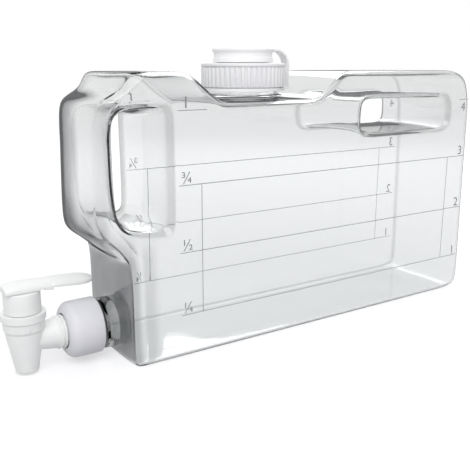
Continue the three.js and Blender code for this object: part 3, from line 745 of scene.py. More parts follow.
@dataclass
class HandleHole:
    """A handle hole in side view, in millimetres from the nose and the table."""

    start: float
    end: float
    bottom: float
    top: float
    flare_start: float
    flare_end: float
    flare_bottom: float
    flare_top: float
    flare_power: int = 3
    reach: float = 20.0

    def flared(self, u: float, z: float, share: float) -> Point:
        """Draw a point near the hole outwards, more towards the faces of the tank.

        Args:
            u: Distance behind the nose.
            z: Height above the table.
            share: Distance from the middle of the width, as a share of half of it.

        Returns:
            The new distance and height.
        """
        reach = self.reach
        near_u = ease(u, self.start - reach, self.start) * ease(u, self.end + reach, self.end)
        near_z = ease(z, self.bottom - reach, self.bottom) * ease(z, self.top + reach, self.top)
        middle_u = (self.start + self.end) / 2
        middle_z = (self.bottom + self.top) / 2
        along = (u - middle_u) / (self.end - middle_u)
        across = (z - middle_z) / (self.top - middle_z)
        flare_u = self.flare_end if along > 0 else self.flare_start
        flare_z = self.flare_top if across > 0 else self.flare_bottom
        rise = share ** self.flare_power * near_u * near_z
        return (
            u + rise * flare_u * max(min(along, 1.0), -1.0),
            z + rise * flare_z * max(min(across, 1.0), -1.0),
        )


@dataclass(frozen=True)
class PaintedGlassShade:
    """Where painted shade darkens the clear wall, standing in for the dark that it refracts and
    reflects, and how deep that shade is there.

    A span goes from where there is no painted shade to where it is full: in millimetres behind the
    nose, from the middle of the width or above the table, or as shares of the wall's normal.
    """

    # Painted shade on the rims, the recess wall, the elbow, the band behind the recess and the grip
    # column's front.
    rim: float = 0.3
    rim_across: Span = (27.0, 33.0)
    recess: float = 0.85
    recess_back: Span = (30.0, 25.0)
    recess_top: Span = (96.0, 84.0)
    recess_facing: Span = (0.8, 0.97)
    recess_least: float = 0.2
    recess_middle: float = 0.5
    recess_across: Span = (30.0, 24.0)
    elbow: float = 0.5
    elbow_back: Span = (13.0, 2.0)
    elbow_top: Span = (118.0, 92.0)
    band: float = 0.22
    band_front: Span = (30.0, 33.0)
    band_back: Span = (43.0, 37.0)
    band_top: Span = (90.0, 76.0)
    band_facing: Span = (0.9, 0.99)
    column: float = 0.2
    column_back: Span = (17.0, 9.0)
    column_foot: Span = (84.0, 96.0)

    def depth(self, u: float, y: float, z: float, normal: Vector) -> float:
        """Depth of the painted shade on the rounded rims, the recess wall, the elbow and the band
        behind it.

        Args:
            u: Distance behind the nose, in millimetres.
            y: Distance from the middle of the width.
            z: Height above the table.
            normal: The way that the wall faces.

        Returns:
            The depth, with 1 for the full cast.
        """
        across = abs(normal.y)
        # Largest where the wall faces half sideways, as it does on a rounded rim.
        rim = (4 * across ** 2 * (1 - across ** 2)) ** 2 * ease(y, *self.rim_across)
        middle = self.recess_least + self.recess_middle * ease(y, *self.recess_across)
        recess = max(ease(abs(normal.x), *self.recess_facing), middle)
        recess *= ease(u, *self.recess_back) * ease(z, *self.recess_top)
        elbow = ease(u, *self.elbow_back) * ease(z, *self.elbow_top)
        band = ease(u, *self.band_front) * ease(u, *self.band_back)
        band *= ease(z, *self.band_top) * ease(across, *self.band_facing)
        return self.rim * rim + self.recess * recess + self.elbow * elbow + self.band * band

    def turn(self, u: float, z: float) -> float:
        """How much painted shade is added to the front of the grip column, as if it were turned
        further away than it is.

        Args:
            u: Distance behind the nose, in millimetres.
            z: Height above the table.

        Returns:
            What is added to the facing share.
        """
        return self.column * ease(u, *self.column_back) * ease(z, *self.column_foot)


@dataclass
class FillNeck:
    """Neck for the screw cap with a bead over its root, in millimetres above the table."""

    radius: float = 26.0
    root: float = 171.7
    mouth: float = 194.0
    lip: float = 0.8
    bead: float = 28.6
    bead_span: Span = (173.9, 176.7)
    bead_slope: float = 0.7
    bore: float = 24.0
    bore_span: Span = (168.0, 197.0)

    def join_to(self, shell: Bench) -> None:
        """Join the neck to the shell and bore it through.

        Args:
            shell: The hollow shell.
        """
        low, high = self.bead_span
        outline = (
            (0, self.root), (self.radius, self.root), (self.radius, low),
            (self.bead, low + self.bead_slope), (self.bead, high - self.bead_slope),
            (self.radius, high), (self.radius, self.mouth - self.lip),
            (self.radius - self.lip, self.mouth), (0, self.mouth),
        )
        shell.combine(Bench.turned("fill_neck", outline, fill_axis()), "UNION")
        shell.drill(self.bore, self.bore_span, fill_axis())


@dataclass
class TapNeck:
    """Neck for the collar nut with a groove behind its thread, in millimetres from the nose."""

    radius: float = 16.3
    reach: float = 2.8
    lip: float = 0.8
    thread_end: float = 12.2
    groove: float = 15.6
    groove_span: Span = (13.8, 15.4)
    flange: float = 17.7
    flange_start: float = 16.2
    root: float = 23.8
    bore: float = 14.3
    bore_span: Span = (-6.0, 27.0)

    def join_to(self, shell: Bench, nose_x: float) -> None:
        """Join the neck to the shell and bore it through.

        Args:
            shell: The hollow shell.
            nose_x: Place of the shell's nose in the part's frame.
        """
        low, high = self.groove_span
        outline = (
            (0, -self.reach), (self.radius - self.lip, -self.reach),
            (self.radius, self.lip - self.reach), (self.radius, self.thread_end),
            (self.groove, low), (self.groove, high), (self.flange, self.flange_start),
            (self.flange, self.root), (0, self.root),
        )
        nose = Vector((nose_x * MM, 0.0, TAP_HEIGHT * MM))
        shell.combine(Bench.turned("tap_neck", outline, nose, Axis.ALONG), "UNION")
        shell.drill(self.bore, self.bore_span, nose, Axis.ALONG)


@dataclass
class JugShell:
    """Blow-moulded tank: a side-view cage pushed across the width, smoothed and given its wall.

    Sizes are in millimetres. Places along the tank count from its nose, heights from the table.
    """

    half_width: float = 41.0
    length: float = 347.0
    wall: float = 1.8
    edge: float = 6.5
    nose_top: float = 174.0
    nose_bow: float = 32.0
    nose_reach: float = 54.0
    nose_power: int = 5
    grip: float = 22.5
    grip_half_width: float = 33.0
    grip_slack: float = 1.5
    grip_round: float = 11.9
    grip_reach: float = 25.0
    grip_power: int = 3
    grip_foot: Span = (80.0, 101.0)
    grip_head: Span = (190.0, 164.0)
    grip_back: float = 34.0
    recess: float = 22.7
    recess_rim: float = 29.0
    recess_line: float = 39.0
    recess_bow: float = 0.5
    corner_bow: float = 3.8
    corner_start: float = 26.0
    corner_back: Span = (60.0, 26.0)
    elbow_root: float = 71.0
    elbow: float = 91.0
    crest: float = 193.0
    crest_end: float = 68.5
    deck: float = 173.0
    deck_start: float = 93.0
    deck_end: float = 178.0
    crest_start: float = 200.5
    hole_cover: float = 9.5
    crest_cover: float = 22.0
    rear_draft: float = 3.0
    rear_round: float = 4.5
    rear_reach: float = 7.0
    foot_round: float = 1.5
    # How far the nose stands out on each row from the elbow up.
    bulges: tuple[float, ...] = (2.0, 2.0, 1.6, 0.8)
    # How far the rows beside the front hole close in on each column, from the nose to the hole.
    lifts: tuple[float, ...] = (6.0, 4.0, 2.0, 1.0, 0.0)
    # How far the elbow's row has come down to the recess on each of those columns.
    elbow_shares: tuple[float, ...] = (0.0, 0.25, 0.55, 0.8, 1.0)
    # Where the sections stand across the width, between those on the two faces.
    stations: tuple[float, ...] = (-35.0, -18.0, 0.0, 18.0, 35.0)

    def __post_init__(self) -> None:
        """Set the two handle holes, the cage's lines and the outline of the top."""
        self.front = HandleHole(
            start=self.grip, end=46.0, bottom=97.0, top=167.0,
            flare_start=0.0, flare_end=4.5, flare_bottom=8.0, flare_top=6.0,
        )
        self.rear = HandleHole(
            start=223.0, end=312.0, bottom=147.5, top=171.0,
            flare_start=5.0, flare_end=8.0, flare_bottom=2.5, flare_top=1.5,
        )
        self.columns = (
            0.0, 7.5, 14.0, 17.5, self.grip, self.grip_back, self.front.end, 58.0,
            self.crest_end, 79.0, self.deck_start, 102.0, 119.0, 136.0, 152.0, 169.0,
            self.deck_end, 188.0, self.crest_start, 211.0, self.rear.start, 238.0, 267.0, 297.0,
            self.rear.end, 329.0, self.length,
        )
        self.rows = (
            0.0, 14.0, 45.0, self.elbow_root, self.front.bottom, 108.0, self.rear.bottom,
            158.0, 169.0, self.crest,
        )
        self.shoulder = (
            (0.0, self.nose_top), (7.5, 177.8), (14.0, 180.8), (16.8, 184.5), (19.4, self.crest),
        )
        self.top = (
            (0.0, self.nose_top), (15.0, 181.5), (19.5, self.crest), (self.crest_end, self.crest),
            (self.deck_start, self.deck), (self.deck_end, self.deck),
            (self.crest_start, self.crest), (self.length, self.crest),
        )
        self.recess_lines = (self.recess, self.recess_rim, self.recess_line)
        self.grip_edge = self.columns.index(self.grip)
        self.elbow_row = self.rows.index(self.elbow_root)
        self.tap_neck = TapNeck()
        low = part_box("jug_body")[0]
        self.nose_x = low.x / MM + self.tap_neck.reach

    def top_height(self, u: float) -> float:
        """Height of the tank's top outline.

        Args:
            u: Distance behind the nose.

        Returns:
            The height there.
        """
        for (u0, z0), (u1, z1) in zip(self.top, self.top[1:]):
            if u <= u1:
                return z0 + (z1 - z0) * (u - u0) / (u1 - u0)
        return self.crest

    def cage_point(self, i: int, j: int) -> Point:
        """Place of a crossing of the cage in side view.

        Args:
            i: Number of the column, from the nose.
            j: Number of the row, from the table.

        Returns:
            Distance behind the nose and height above the table, in millimetres.
        """
        u, z = self.columns[i], self.rows[j]
        crown, last = len(self.rows) - 1, len(self.columns) - 1
        past_grip, over_elbow = i - self.grip_edge, j - self.elbow_row
        if j == crown and past_grip <= 0:
            u, z = self.shoulder[i]
        elif j == crown:
            u = self.recess_rim if past_grip == 1 else u
            z = self.top_height(u)
        elif j == crown - 1:
            hole = self.front if u <= self.deck_start else self.rear
            z = min(hole.top, self.top_height(u) - self.hole_cover)
        elif j == crown - 2:
            z = min(z, self.top_height(u) - self.crest_cover)
        if past_grip <= 0:
            lift = self.lifts[i]
            if over_elbow == 0:
                share = self.elbow_shares[i]
                u = self.recess * share
                z = self.elbow - (self.elbow - self.elbow_root) * share
            elif over_elbow in (1, 2):
                z += lift
            elif crown - 3 <= j < crown:
                z -= lift if j > crown - 3 else 2 * lift
        if i == 0 and 0 <= over_elbow < len(self.bulges):
            u -= self.bulges[over_elbow]
        if over_elbow < 0 and 0 <= past_grip < len(self.recess_lines):
            u = self.recess_lines[past_grip]
        if i == last:
            u -= self.rear_draft * z / self.crest
            if j == crown:
                u, z = u - self.rear_round, z - self.rear_round
            if j == crown - 1:
                z -= self.rear_reach
            if j == 0:
                u, z = u - self.foot_round, z + self.foot_round
        if i == last - 1 and j == crown:
            u -= self.rear_reach
        return u, z

    def is_open(self, i: int, j: int) -> bool:
        """Whether the cell above and behind a crossing belongs to the recess or a handle hole.

        Args:
            i: Number of the column, from the nose.
            j: Number of the row, from the table.

        Returns:
            True where the tank has no side wall.
        """
        u, z = self.columns[i], self.rows[j]
        in_recess = u < self.grip and z < self.elbow_root
        holes = (self.front, self.rear)
        in_hole = any(hole.start <= u < hole.end and hole.bottom <= z for hole in holes)
        return in_recess or (in_hole and j < len(self.rows) - 2)

    def moulded(self, u: float, y: float, z: float) -> Vector:
        """Bow the nose, draw the grip column in, round the recess and flare the handle holes.

        Args:
            u: Distance behind the nose, in millimetres.
            y: Place across the width.
            z: Height above the table.

        Returns:
            The new place, in metres in the part's frame.
        """
        grip = ease(z, *self.grip_foot) * ease(z, *self.grip_head)
        grip *= ease(u, self.grip_back, self.grip)
        y *= 1 - grip * (1 - self.grip_half_width / self.half_width)
        share = abs(y) / self.half_width
        fade = (1 - grip) * max(1 - u / self.nose_reach, 0.0)
        fade += grip * max(1 - u / self.grip_reach, 0.0)
        bow = self.nose_bow * share ** self.nose_power * fade
        bow *= ease(z, self.elbow_root, self.elbow)
        around = min(abs(y) / (self.grip_half_width + self.grip_slack), 1.0)
        back = self.grip_round * (1 - math.sqrt(1 - around ** 2))
        back *= grip ** self.grip_power * min(u / self.grip, 1.0)
        corner = ease(abs(y), self.corner_start, self.half_width)
        dent = self.recess_bow * share ** 2 + self.corner_bow * corner ** 2
        dent *= ease(z, self.elbow, self.elbow_root) * ease(u, *self.corner_back)
        for hole in (self.front, self.rear):
            u, z = hole.flared(u, z, share)
        return Vector((self.nose_x + u + bow - back + dent, y, z)) * MM

    def plate(self) -> Bench:
        """Lay out the cage in side view and open the recess and the handle holes.

        Returns:
            The flat plate, on the near face of the tank.
        """
        clear_bench()
        across, upright = len(self.columns) - 1, len(self.rows) - 1
        bpy.ops.mesh.primitive_grid_add(x_subdivisions=across, y_subdivisions=upright, size=2.0)
        plate = Bench("jug_shell")
        opened = set()
        # The grid runs from -1 to 1 both ways, so its places give the numbers of the lines.
        for face in plate.shape.data.polygons:
            i = round((face.center.x + 1) * across / 2 - 0.5)
            j = round((face.center.y + 1) * upright / 2 - 0.5)
            if self.is_open(i, j):
                opened.add(face.index)
        for vertex in plate.shape.data.vertices:
            i = round((vertex.co.x + 1) * across / 2)
            j = round((vertex.co.y + 1) * upright / 2)
            u, z = self.cage_point(i, j)
            vertex.co = Vector((u, -self.half_width, z)) * MM
        with plate.editing():
            plate.pick(Part.FACE, lambda face: face.index in opened)
            bpy.ops.mesh.delete(type="FACE")
        return plate

    @staticmethod
    def on_rim(edge: bmesh.types.BMEdge) -> bool:
        """Whether an edge parts a side face of the tank from the wall round it.

        Args:
            edge: The edge.

        Returns:
            True where just one of its faces looks sideways.
        """
        return [abs(face.normal.y) > FACING for face in edge.link_faces].count(True) == 1

    def build(self) -> None:
        """Push the plate across the width, round its rims, mould it and hollow it."""
        shell = self.plate()
        places = (-self.half_width, *self.stations, self.half_width)
        with shell.editing():
            for before, after in zip(places, places[1:]):
                step = (0.0, (after - before) * MM, 0.0)
                bpy.ops.mesh.extrude_region_move(TRANSFORM_OT_translate={"value": step})
        shell.close_up()
        with shell.editing():
            shell.pick(Part.EDGE, self.on_rim)
            bpy.ops.mesh.bevel(
                offset=self.edge * MM, segments=2, affect="EDGES", clamp_overlap=True
            )
        for vertex in shell.shape.data.vertices:
            vertex.co = self.moulded(*(vertex.co / MM))
        shell.close_up()
        shell.modify("SUBSURF", levels=2, render_levels=2)
        shell.modify("SOLIDIFY", thickness=self.wall * MM, offset=-1.0, use_even_offset=False)
        FillNeck().join_to(shell)
        self.tap_neck.join_to(shell, self.nose_x)
        # Painted shade for the clear wall is written into the shell here.
        self.paint_glass_shade(shell)
        shell.dress(CLEAR, "jug", "clear_plastic", "jug_body")

    def paint_glass_shade(self, shell: Bench) -> None:
        """Write into the shell where painted shade darkens its wall, and where it is shaded as if
        turned further away.

        Args:
            shell: The finished shell.
        """
        glass_shade = PaintedGlassShade()
        mesh = shell.shape.data
        mesh.attributes.new(CLEAR.painted_shade, "FLOAT", "POINT")
        mesh.attributes.new(CLEAR.turn, "FLOAT", "POINT")
        painted_shade, turn = (mesh.attributes[name].data for name in (CLEAR.painted_shade, CLEAR.turn))
        for vertex in mesh.vertices:
            x, y, z = vertex.co / MM
            u = x - self.nose_x
            painted_shade[vertex.index].value = glass_shade.depth(u, abs(y), z, vertex.normal)
            turn[vertex.index].value = glass_shade.turn(u, z)


@dataclass
class PrintedScale:
    """Fill scale on both side faces: level lines with plain numbers, and two upright lines."""

    face: float = 41.0
    proud: float = 0.06
    line: float = 0.45
    start: float = -89.8
    end: float = 192.7
    left_stub: float = 21.5
    right_stub: float = 11.3
    upright: float = 171.2
    faint_upright: float = -73.0
    letter: float = 8.0
    letter_gap: float = 1.6
    letter_depth: float = 0.03
    type_share: float = 1.35
    inset: float = 6.0
    levels: tuple[float, ...] = (31.6, 75.4, 120.7, 168.8)
    left_numbers: tuple[str, ...] = ("\u00bc", "\u00bd", "\u00be", "1")
    right_numbers: tuple[str, ...] = ("1", "2", "3", "4")

    def build(self) -> None:
        """Print the scale on the near face and again on the far face."""
        *lower, top = self.levels
        strips = [(self.start, self.end, level, level + self.line) for level in lower]
        strips.append((self.start, self.start + self.left_stub, top, top + self.line))
        strips.append((self.end - self.right_stub, self.end, top, top + self.line))
        for place in (self.upright, self.faint_upright):
            strips.append((place, place + self.line, lower[0], lower[-1]))
        for side, name in ((-1, "near_scale"), (1, "far_scale")):
            scale = self.print_strips(name, strips, side)
            self.print_numbers(scale, side)
            scale.dress(INK, "jug", "clear_plastic")

    def print_strips(
        self, name: str, strips: Sequence[tuple[float, float, float, float]], side: int
    ) -> Bench:
        """Lay thin strips of ink on a side face.

        Args:
            name: Name of the print.
            strips: Start and end along X, bottom and top of each strip, in millimetres.
            side: -1 for the near face and 1 for the far face.

        Returns:
            The strips as one piece.
        """
        clear_bench()
        depth = side * (self.face + self.proud / 2)
        for start, end, low, high in strips:
            middle = Vector(((start + end) / 2, depth, (low + high) / 2))
            bpy.ops.mesh.primitive_cube_add(size=1.0, location=middle * MM)
            strip = bpy.context.object
            strip.scale = Vector((end - start, self.proud, high - low)) * MM
            strip.name = "strip_" + name
        for shape in bpy.context.scene.objects:
            shape.select_set(shape.name.startswith("strip_" + name))
        bpy.ops.object.transform_apply(location=True, rotation=True, scale=True)
        bpy.ops.object.join()
        return Bench(name)

    def print_numbers(self, scale: Bench, side: int) -> None:
        """Add the plain numbers over the ends of the lines, and the last one below its line.

        Args:
            scale: The print that takes the numbers.
            side: -1 for the near face and 1 for the far face.
        """
        marks = []
        for level, left, right in zip(self.levels, self.left_numbers, self.right_numbers):
            above = level + self.letter_gap
            below = level - self.letter - self.letter_gap
            height = below if level == self.levels[-1] else above
            marks.append((left, self.start + self.inset, above))
            marks.append((right, self.end - self.inset, height))
        for number, place, height in marks:
            clear_bench()
            bpy.ops.object.text_add()
            text = bpy.context.object
            text.data.body = number
            text.data.align_x = "CENTER"
            text.data.size = self.letter * MM * self.type_share
            text.data.extrude = self.letter_depth * MM
            bpy.ops.object.convert(target="MESH")
            turn = 0.0 if side < 0 else math.pi
            text.location = Vector((place, side * (self.face + self.letter_depth), height)) * MM
            text.rotation_euler = (math.pi / 2, 0.0, turn)
            bpy.ops.object.transform_apply(location=True, rotation=True, scale=True)
            scale.shape.select_set(True)
            bpy.context.view_layer.objects.active = scale.shape
            bpy.ops.object.join()


@dataclass
class ScrewCap:
    """Ribbed screw cap with a plain rim and a pour spout."""

    ribs: int = 48
    steps_per_rib: int = 6
    rib_inset: float = 0.5
    rib_depth: float = 1.05
    skirt: float = 29.5
    skirt_slack: float = 0.5
    rim: float = 30.6
    rim_slope: float = 0.3
    bore: float = 26.4
    bottom: float = 181.4
    rib_top: float = 195.7
    underside: float = 196.2
    top: float = 198.4
    spout: float = 19.3
    spout_bore: float = 17.6
    spout_top: float = 206.6
    lip: float = 0.7
    edge: float = 1.2
    rounding: float = 0.28

    def build(self) -> None:
        """Turn the cap, push its ribs out and round its edges."""
        axis = fill_axis()
        outline = (
            (self.bore, self.bottom), (self.skirt, self.bottom), (self.skirt, self.rib_top),
            (self.rim, self.rib_top + self.rim_slope),
            *arc((self.rim - self.edge, self.top - self.edge), self.edge, 0, 90, 4),
            (self.spout, self.top), (self.spout, self.spout_top - 4 * self.lip),
            (self.spout + self.lip, self.spout_top - 2 * self.lip), (self.spout, self.spout_top),
            (self.spout_bore, self.spout_top), (self.spout_bore, self.underside),
            (self.bore, self.underside),
        )
        steps = self.ribs * self.steps_per_rib
        cap = Bench.turned("screw_cap", outline, axis, sides=steps)

        def on_rib(face: bmesh.types.BMFace) -> bool:
            """Whether a face lies on the skirt where a rib stands.

            Args:
                face: The face.

            Returns:
                True on all but the first and the last step of a rib.
            """
            place = (face.calc_center_median() - axis) / MM
            outside = place.xy.length > self.skirt - self.skirt_slack
            on_skirt = outside and self.bottom < place.z < self.rib_top
            step = math.floor(math.atan2(place.y, place.x) / math.tau * steps)
            on_step = 0 < step % self.steps_per_rib < self.steps_per_rib - 1
            return on_skirt and on_step and face.normal.xy.length > FACING

        with cap.editing():
            cap.pick(Part.FACE, on_rib)
            bpy.ops.mesh.inset(thickness=self.rib_inset * MM, depth=self.rib_depth * MM)
        cap.soften(self.rounding, 2)
        cap.dress(CAP_WHITE, "cap", "cap_white", "cap_ring")


@dataclass
class Closure:
    """Snap lid with the strap's top run, and the strap's lower run with its ring."""

    strap_thickness: float = 1.3
    strap_width: float = 8.0
    strap_overlap: float = 1.8
    strap_rounding: float = 0.25
    top_run: float = 4.75
    bend: float = 12.0
    hinge_turn: float = 30.0
    hinge_gap: float = 0.95
    foot: float = 3.0
    ring_inner: float = 26.5
    ring_outer: float = 29.8
    ring_bottom: float = 178.9
    ring_top: float = 181.1
    lid_top: float = 208.7
    lid_rounding: float = 0.2
    rim: float = 22.4
    rim_low: float = 207.0
    rim_round: float = 0.9
    dish: Span = (17.0, 17.9)
    plate: Span = (206.9, 207.9)
    plug: Span = (15.85, 17.25)
    plug_low: float = 202.7
    plug_lead: float = 0.7
    skirt: Span = (20.4, 21.7)
    skirt_low: float = 198.9
    waist: float = 21.2
    waist_low: float = 201.9
    waist_step: float = 0.5
    waist_top: float = 205.2

    def build(self) -> None:
        """Build the lid and the strap."""
        self.axis = fill_axis()
        self.centre = (
            self.axis.x / MM + self.rim + self.top_run,
            self.lid_top - self.strap_thickness / 2 - self.bend,
        )
        self.build_lid()
        self.build_strap()

    def build_lid(self) -> None:
        """Turn the dished lid with its skirt and plug ring, and join the strap's top run to it."""
        (plug_in, plug_out), (skirt_in, skirt_out) = self.plug, self.skirt
        (low, high), (dish_in, dish_out) = self.plate, self.dish
        rounding = (self.rim - self.rim_round, self.lid_top - self.rim_round)
        outline = (
            (0, low), (plug_in, low), (plug_in, self.plug_low),
            (plug_out - self.plug_lead, self.plug_low),
            (plug_out, self.plug_low + 2 * self.plug_lead), (plug_out, low), (skirt_in, low),
            (skirt_in, self.skirt_low), (skirt_out, self.skirt_low), (skirt_out, self.waist_low),
            (self.waist, self.waist_low + self.waist_step), (self.waist, self.waist_top),
            (self.rim, self.rim_low), *arc(rounding, self.rim_round, 0, 90, 4),
            (dish_out, self.lid_top), (dish_in, high), (0, high),
        )
        lid = Bench.turned("snap_lid", outline, self.axis, sides=128)
        inner = self.axis.x / MM + self.rim - self.strap_overlap
        line = [(inner, self.lid_top - self.strap_thickness / 2)]
        line += arc(self.centre, self.bend, 90, self.hinge_turn + self.hinge_gap, 8)
        lid.combine(self.run("strap_top_run", line), "UNION")
        lid.soften(self.lid_rounding, 2)
        lid.dress(LID_WHITE, "lid", "lid_white", "pour_lid")

    def build_strap(self) -> None:
        """Turn the strap's ring and join the strap's lower run to it."""
        outline = (
            (self.ring_inner, self.ring_bottom), (self.ring_outer, self.ring_bottom),
            (self.ring_outer, self.ring_top), (self.ring_inner, self.ring_top),
        )
        strap = Bench.turned("strap_ring", outline, self.axis, sides=128)
        out = self.centre[0] + self.bend
        low = self.ring_bottom + self.strap_thickness / 2
        line = arc(self.centre, self.bend, self.hinge_turn - self.hinge_gap, 0, 6)
        line += arc((out - self.foot, low + self.foot), self.foot, 0, -90, 6)
        line.append((self.axis.x / MM + (self.ring_inner + self.ring_outer) / 2, low))
        strap.combine(self.run("strap_lower_run", line), "UNION")
        strap.soften(self.strap_rounding, 2)
        strap.dress(LID_WHITE, "cap", "lid_white", "lid_strap")

    def run(self, name: str, line: Sequence[Point]) -> Bench:
        """Make a run of the strap.

        Args:
            name: Its name.
            line: Its middle line in side view.

        Returns:
            The run.
        """
        return Bench.slab(name, ribbon(line, self.strap_thickness), self.strap_width / 2)


@dataclass
class CollarNut:
    """Plain collar nut with a well rounded front shoulder."""

    front: float = -158.9
    rear: float = -135.7
    radius: float = 19.5
    shoulder: float = 6.6
    end_bore: float = 11.9
    end_wall: float = 2.2
    bore: float = 16.65
    rounding: float = 0.7

    def build(self) -> None:
        """Turn the nut and round its edges."""
        centre = (self.radius - self.shoulder, self.front + self.shoulder)
        inside = self.front + self.end_wall
        outline = (
            (self.end_bore, self.front), *arc(centre, self.shoulder, -90, 0, 10),
            (self.radius, self.rear), (self.bore, self.rear), (self.bore, inside),
            (self.end_bore, inside),
        )
        axis = Vector((0.0, 0.0, TAP_HEIGHT * MM))
        nut = Bench.turned("collar_nut", outline, axis, Axis.ALONG, sides=128)
        nut.soften(self.rounding, 3)
        nut.dress(COLLAR_WHITE, "collar", "collar_white", "tap_collar_nut")


@dataclass
class Tap:
    """Tap body with its bowl, barrel and gusset, the bonnet on it, and the lever over the bonnet.

    Sizes are in millimetres. Heights count from the table, places along X from the bowl's axis.
    """

    axis: float = -184.5
    foot: float = 1.6
    spout: float = 7.6
    cone: float = 12.3
    cone_top: float = 27.5
    bowl: float = 13.4
    bowl_slope: Span = (29.2, 31.0)
    band: float = 14.5
    band_slope: Span = (36.2, 37.3)
    bowl_top: float = 41.8
    barrel_neck: float = 8.4
    barrel_neck_end: float = 6.0
    barrel: float = 10.4
    barrel_start: float = 19.0
    ring: float = 11.4
    ring_starts: tuple[float, ...] = (20.6, 23.5)
    ring_slope: float = 0.2
    ring_width: float = 1.5
    flange: float = 15.6
    flange_span: Span = (28.1, 31.1)
    gusset_span: Span = (10.5, 20.9)
    gusset_low: float = 29.0
    gusset_top: float = 34.0
    gusset_flat: float = 18.7
    gusset_half: float = 1.0
    spout_bore: float = 5.6
    seat: float = 7.86
    seat_height: float = 13.6
    chamber: float = 9.6
    chamber_start: float = 29.1
    chamber_span: Span = (-0.5, 44.0)
    step: float = 32.6
    step_bore: float = 11.2
    bore: float = 6.5
    bore_span: Span = (5.6, 34.0)
    bonnet: float = 11.9
    bonnet_bore: float = 7.6
    bonnet_ceiling: float = 53.2
    bonnet_top: float = 56.2
    bonnet_skirt: float = 10.9
    skirt_span: Span = (34.3, 42.1)
    stem_hole: float = 3.8
    lever_gap: float = 0.3
    lever_half: float = 9.1
    paddle_half: float = 9.7
    pocket_half: float = 3.2
    relief_half: float = 12.0
    body_rounding: float = 0.35
    bonnet_rounding: float = 0.6
    lever_rounding: float = 0.5
    soft_angle: float = 25.0
    wire: float = 0.5
    wire_sides: int = 12
    coil: float = 5.3
    turns: int = 6
    turn_steps: int = 32
    end_pitch: float = 1.5

    def build(self) -> None:
        """Build the tap's three visible mouldings, and the spring inside them."""
        self.centre = Vector((self.axis, 0.0, 0.0)) * MM
        self.build_body()
        self.build_bonnet()
        self.build_lever()
        self.build_spring()

    def side(self, name: str, outline: Sequence[Point], base: float, half: float) -> Bench:
        """Make a slab from an outline that counts from the bowl's axis.

        Args:
            name: The slab's name.
            outline: Place along X and height of each point.
            base: Height from which the outline's heights count.
            half: Half of the slab's width.

        Returns:
            The slab.
        """
        return Bench.slab(name, [(self.axis + x, base + z) for x, z in outline], half)

    def build_body(self) -> None:
        """Join the bowl, the barrel and the gusset, then cut the water way."""
        outline = (
            (0, self.foot), (self.spout, self.foot), (self.cone, self.cone_top),
            (self.cone, self.bowl_slope[0]), (self.bowl, self.bowl_slope[1]),
            (self.bowl, self.band_slope[0]), (self.band, self.band_slope[1]),
            (self.band, self.bowl_top), (0, self.bowl_top),
        )
        body = Bench.turned("tap_body_moulding", outline, self.centre, sides=128)
        outline = [(0, 0), (self.barrel_neck, 0), (self.barrel_neck, self.barrel_neck_end)]
        outline.append((self.barrel, self.barrel_start))
        for start in self.ring_starts:
            low = start + self.ring_slope
            high = low + self.ring_width
            outline += [(self.barrel, start), (self.ring, low), (self.ring, high)]
            outline.append((self.barrel, high + self.ring_slope))
        low, high = self.flange_span
        outline += [(self.barrel, low), (self.flange, low), (self.flange, high), (0, high)]
        middle = self.centre + Vector((0.0, 0.0, TAP_HEIGHT * MM))
        body.combine(Bench.turned("tap_barrel", outline, middle, Axis.ALONG), "UNION")
        start, end = self.gusset_span
        gusset = (
            (start, TAP_HEIGHT), (end, TAP_HEIGHT), (end, self.gusset_top),
            (self.gusset_flat, self.gusset_top), (start, self.gusset_low),
        )
        body.combine(self.side("tap_gusset", gusset, 0.0, self.gusset_half), "UNION")
        low, high = self.chamber_span
        outline = (
            (0, low), (self.spout_bore, low), (self.spout_bore, self.seat_height),
            (self.seat, self.seat_height), (self.chamber, self.chamber_start),
            (self.chamber, self.step), (self.step_bore, self.step), (self.step_bore, high),
            (0, high),
        )
        body.combine(Bench.turned("tap_chamber", outline, self.centre), "DIFFERENCE")
        body.drill(self.bore, self.bore_span, middle, Axis.ALONG)
        body.soften(self.body_rounding, 3, self.soft_angle)
        body.dress(TAP_WHITE, "jug", "tap_white", "tap_body")

    def build_bonnet(self) -> None:
        """Turn the bonnet's cup and round its edges."""
        low, high = self.skirt_span
        outline = (
            (self.bonnet_bore, low), (self.bonnet_skirt, low), (self.bonnet_skirt, high),
            (self.bonnet, high), (self.bonnet, self.bonnet_top),
            (self.stem_hole, self.bonnet_top), (self.stem_hole, self.bonnet_ceiling),
            (self.bonnet_bore, self.bonnet_ceiling),
        )
        bonnet = Bench.turned("bonnet_cup", outline, self.centre)
        bonnet.soften(self.bonnet_rounding, 3)
        bonnet.dress(TAP_WHITE, "bonnet", "tap_white", "tap_bonnet")

    def build_lever(self) -> None:
        """Draw the lever out from its head to its tip, smooth it and cut its pockets."""
        shares = (
            (1.0, -0.1), (0.93, 0.35), (0.6, 0.8), (0.3, 0.96), (0.0, 1.0), (-0.3, 0.96),
            (-0.6, 0.8), (-0.93, 0.35), (-1.0, -0.1), (-1.0, -0.8), (-0.94, -1.0), (0.94, -1.0),
            (1.0, -0.8),
        )
        base = self.bonnet_top + self.lever_gap
        half, wide = self.lever_half, self.paddle_half
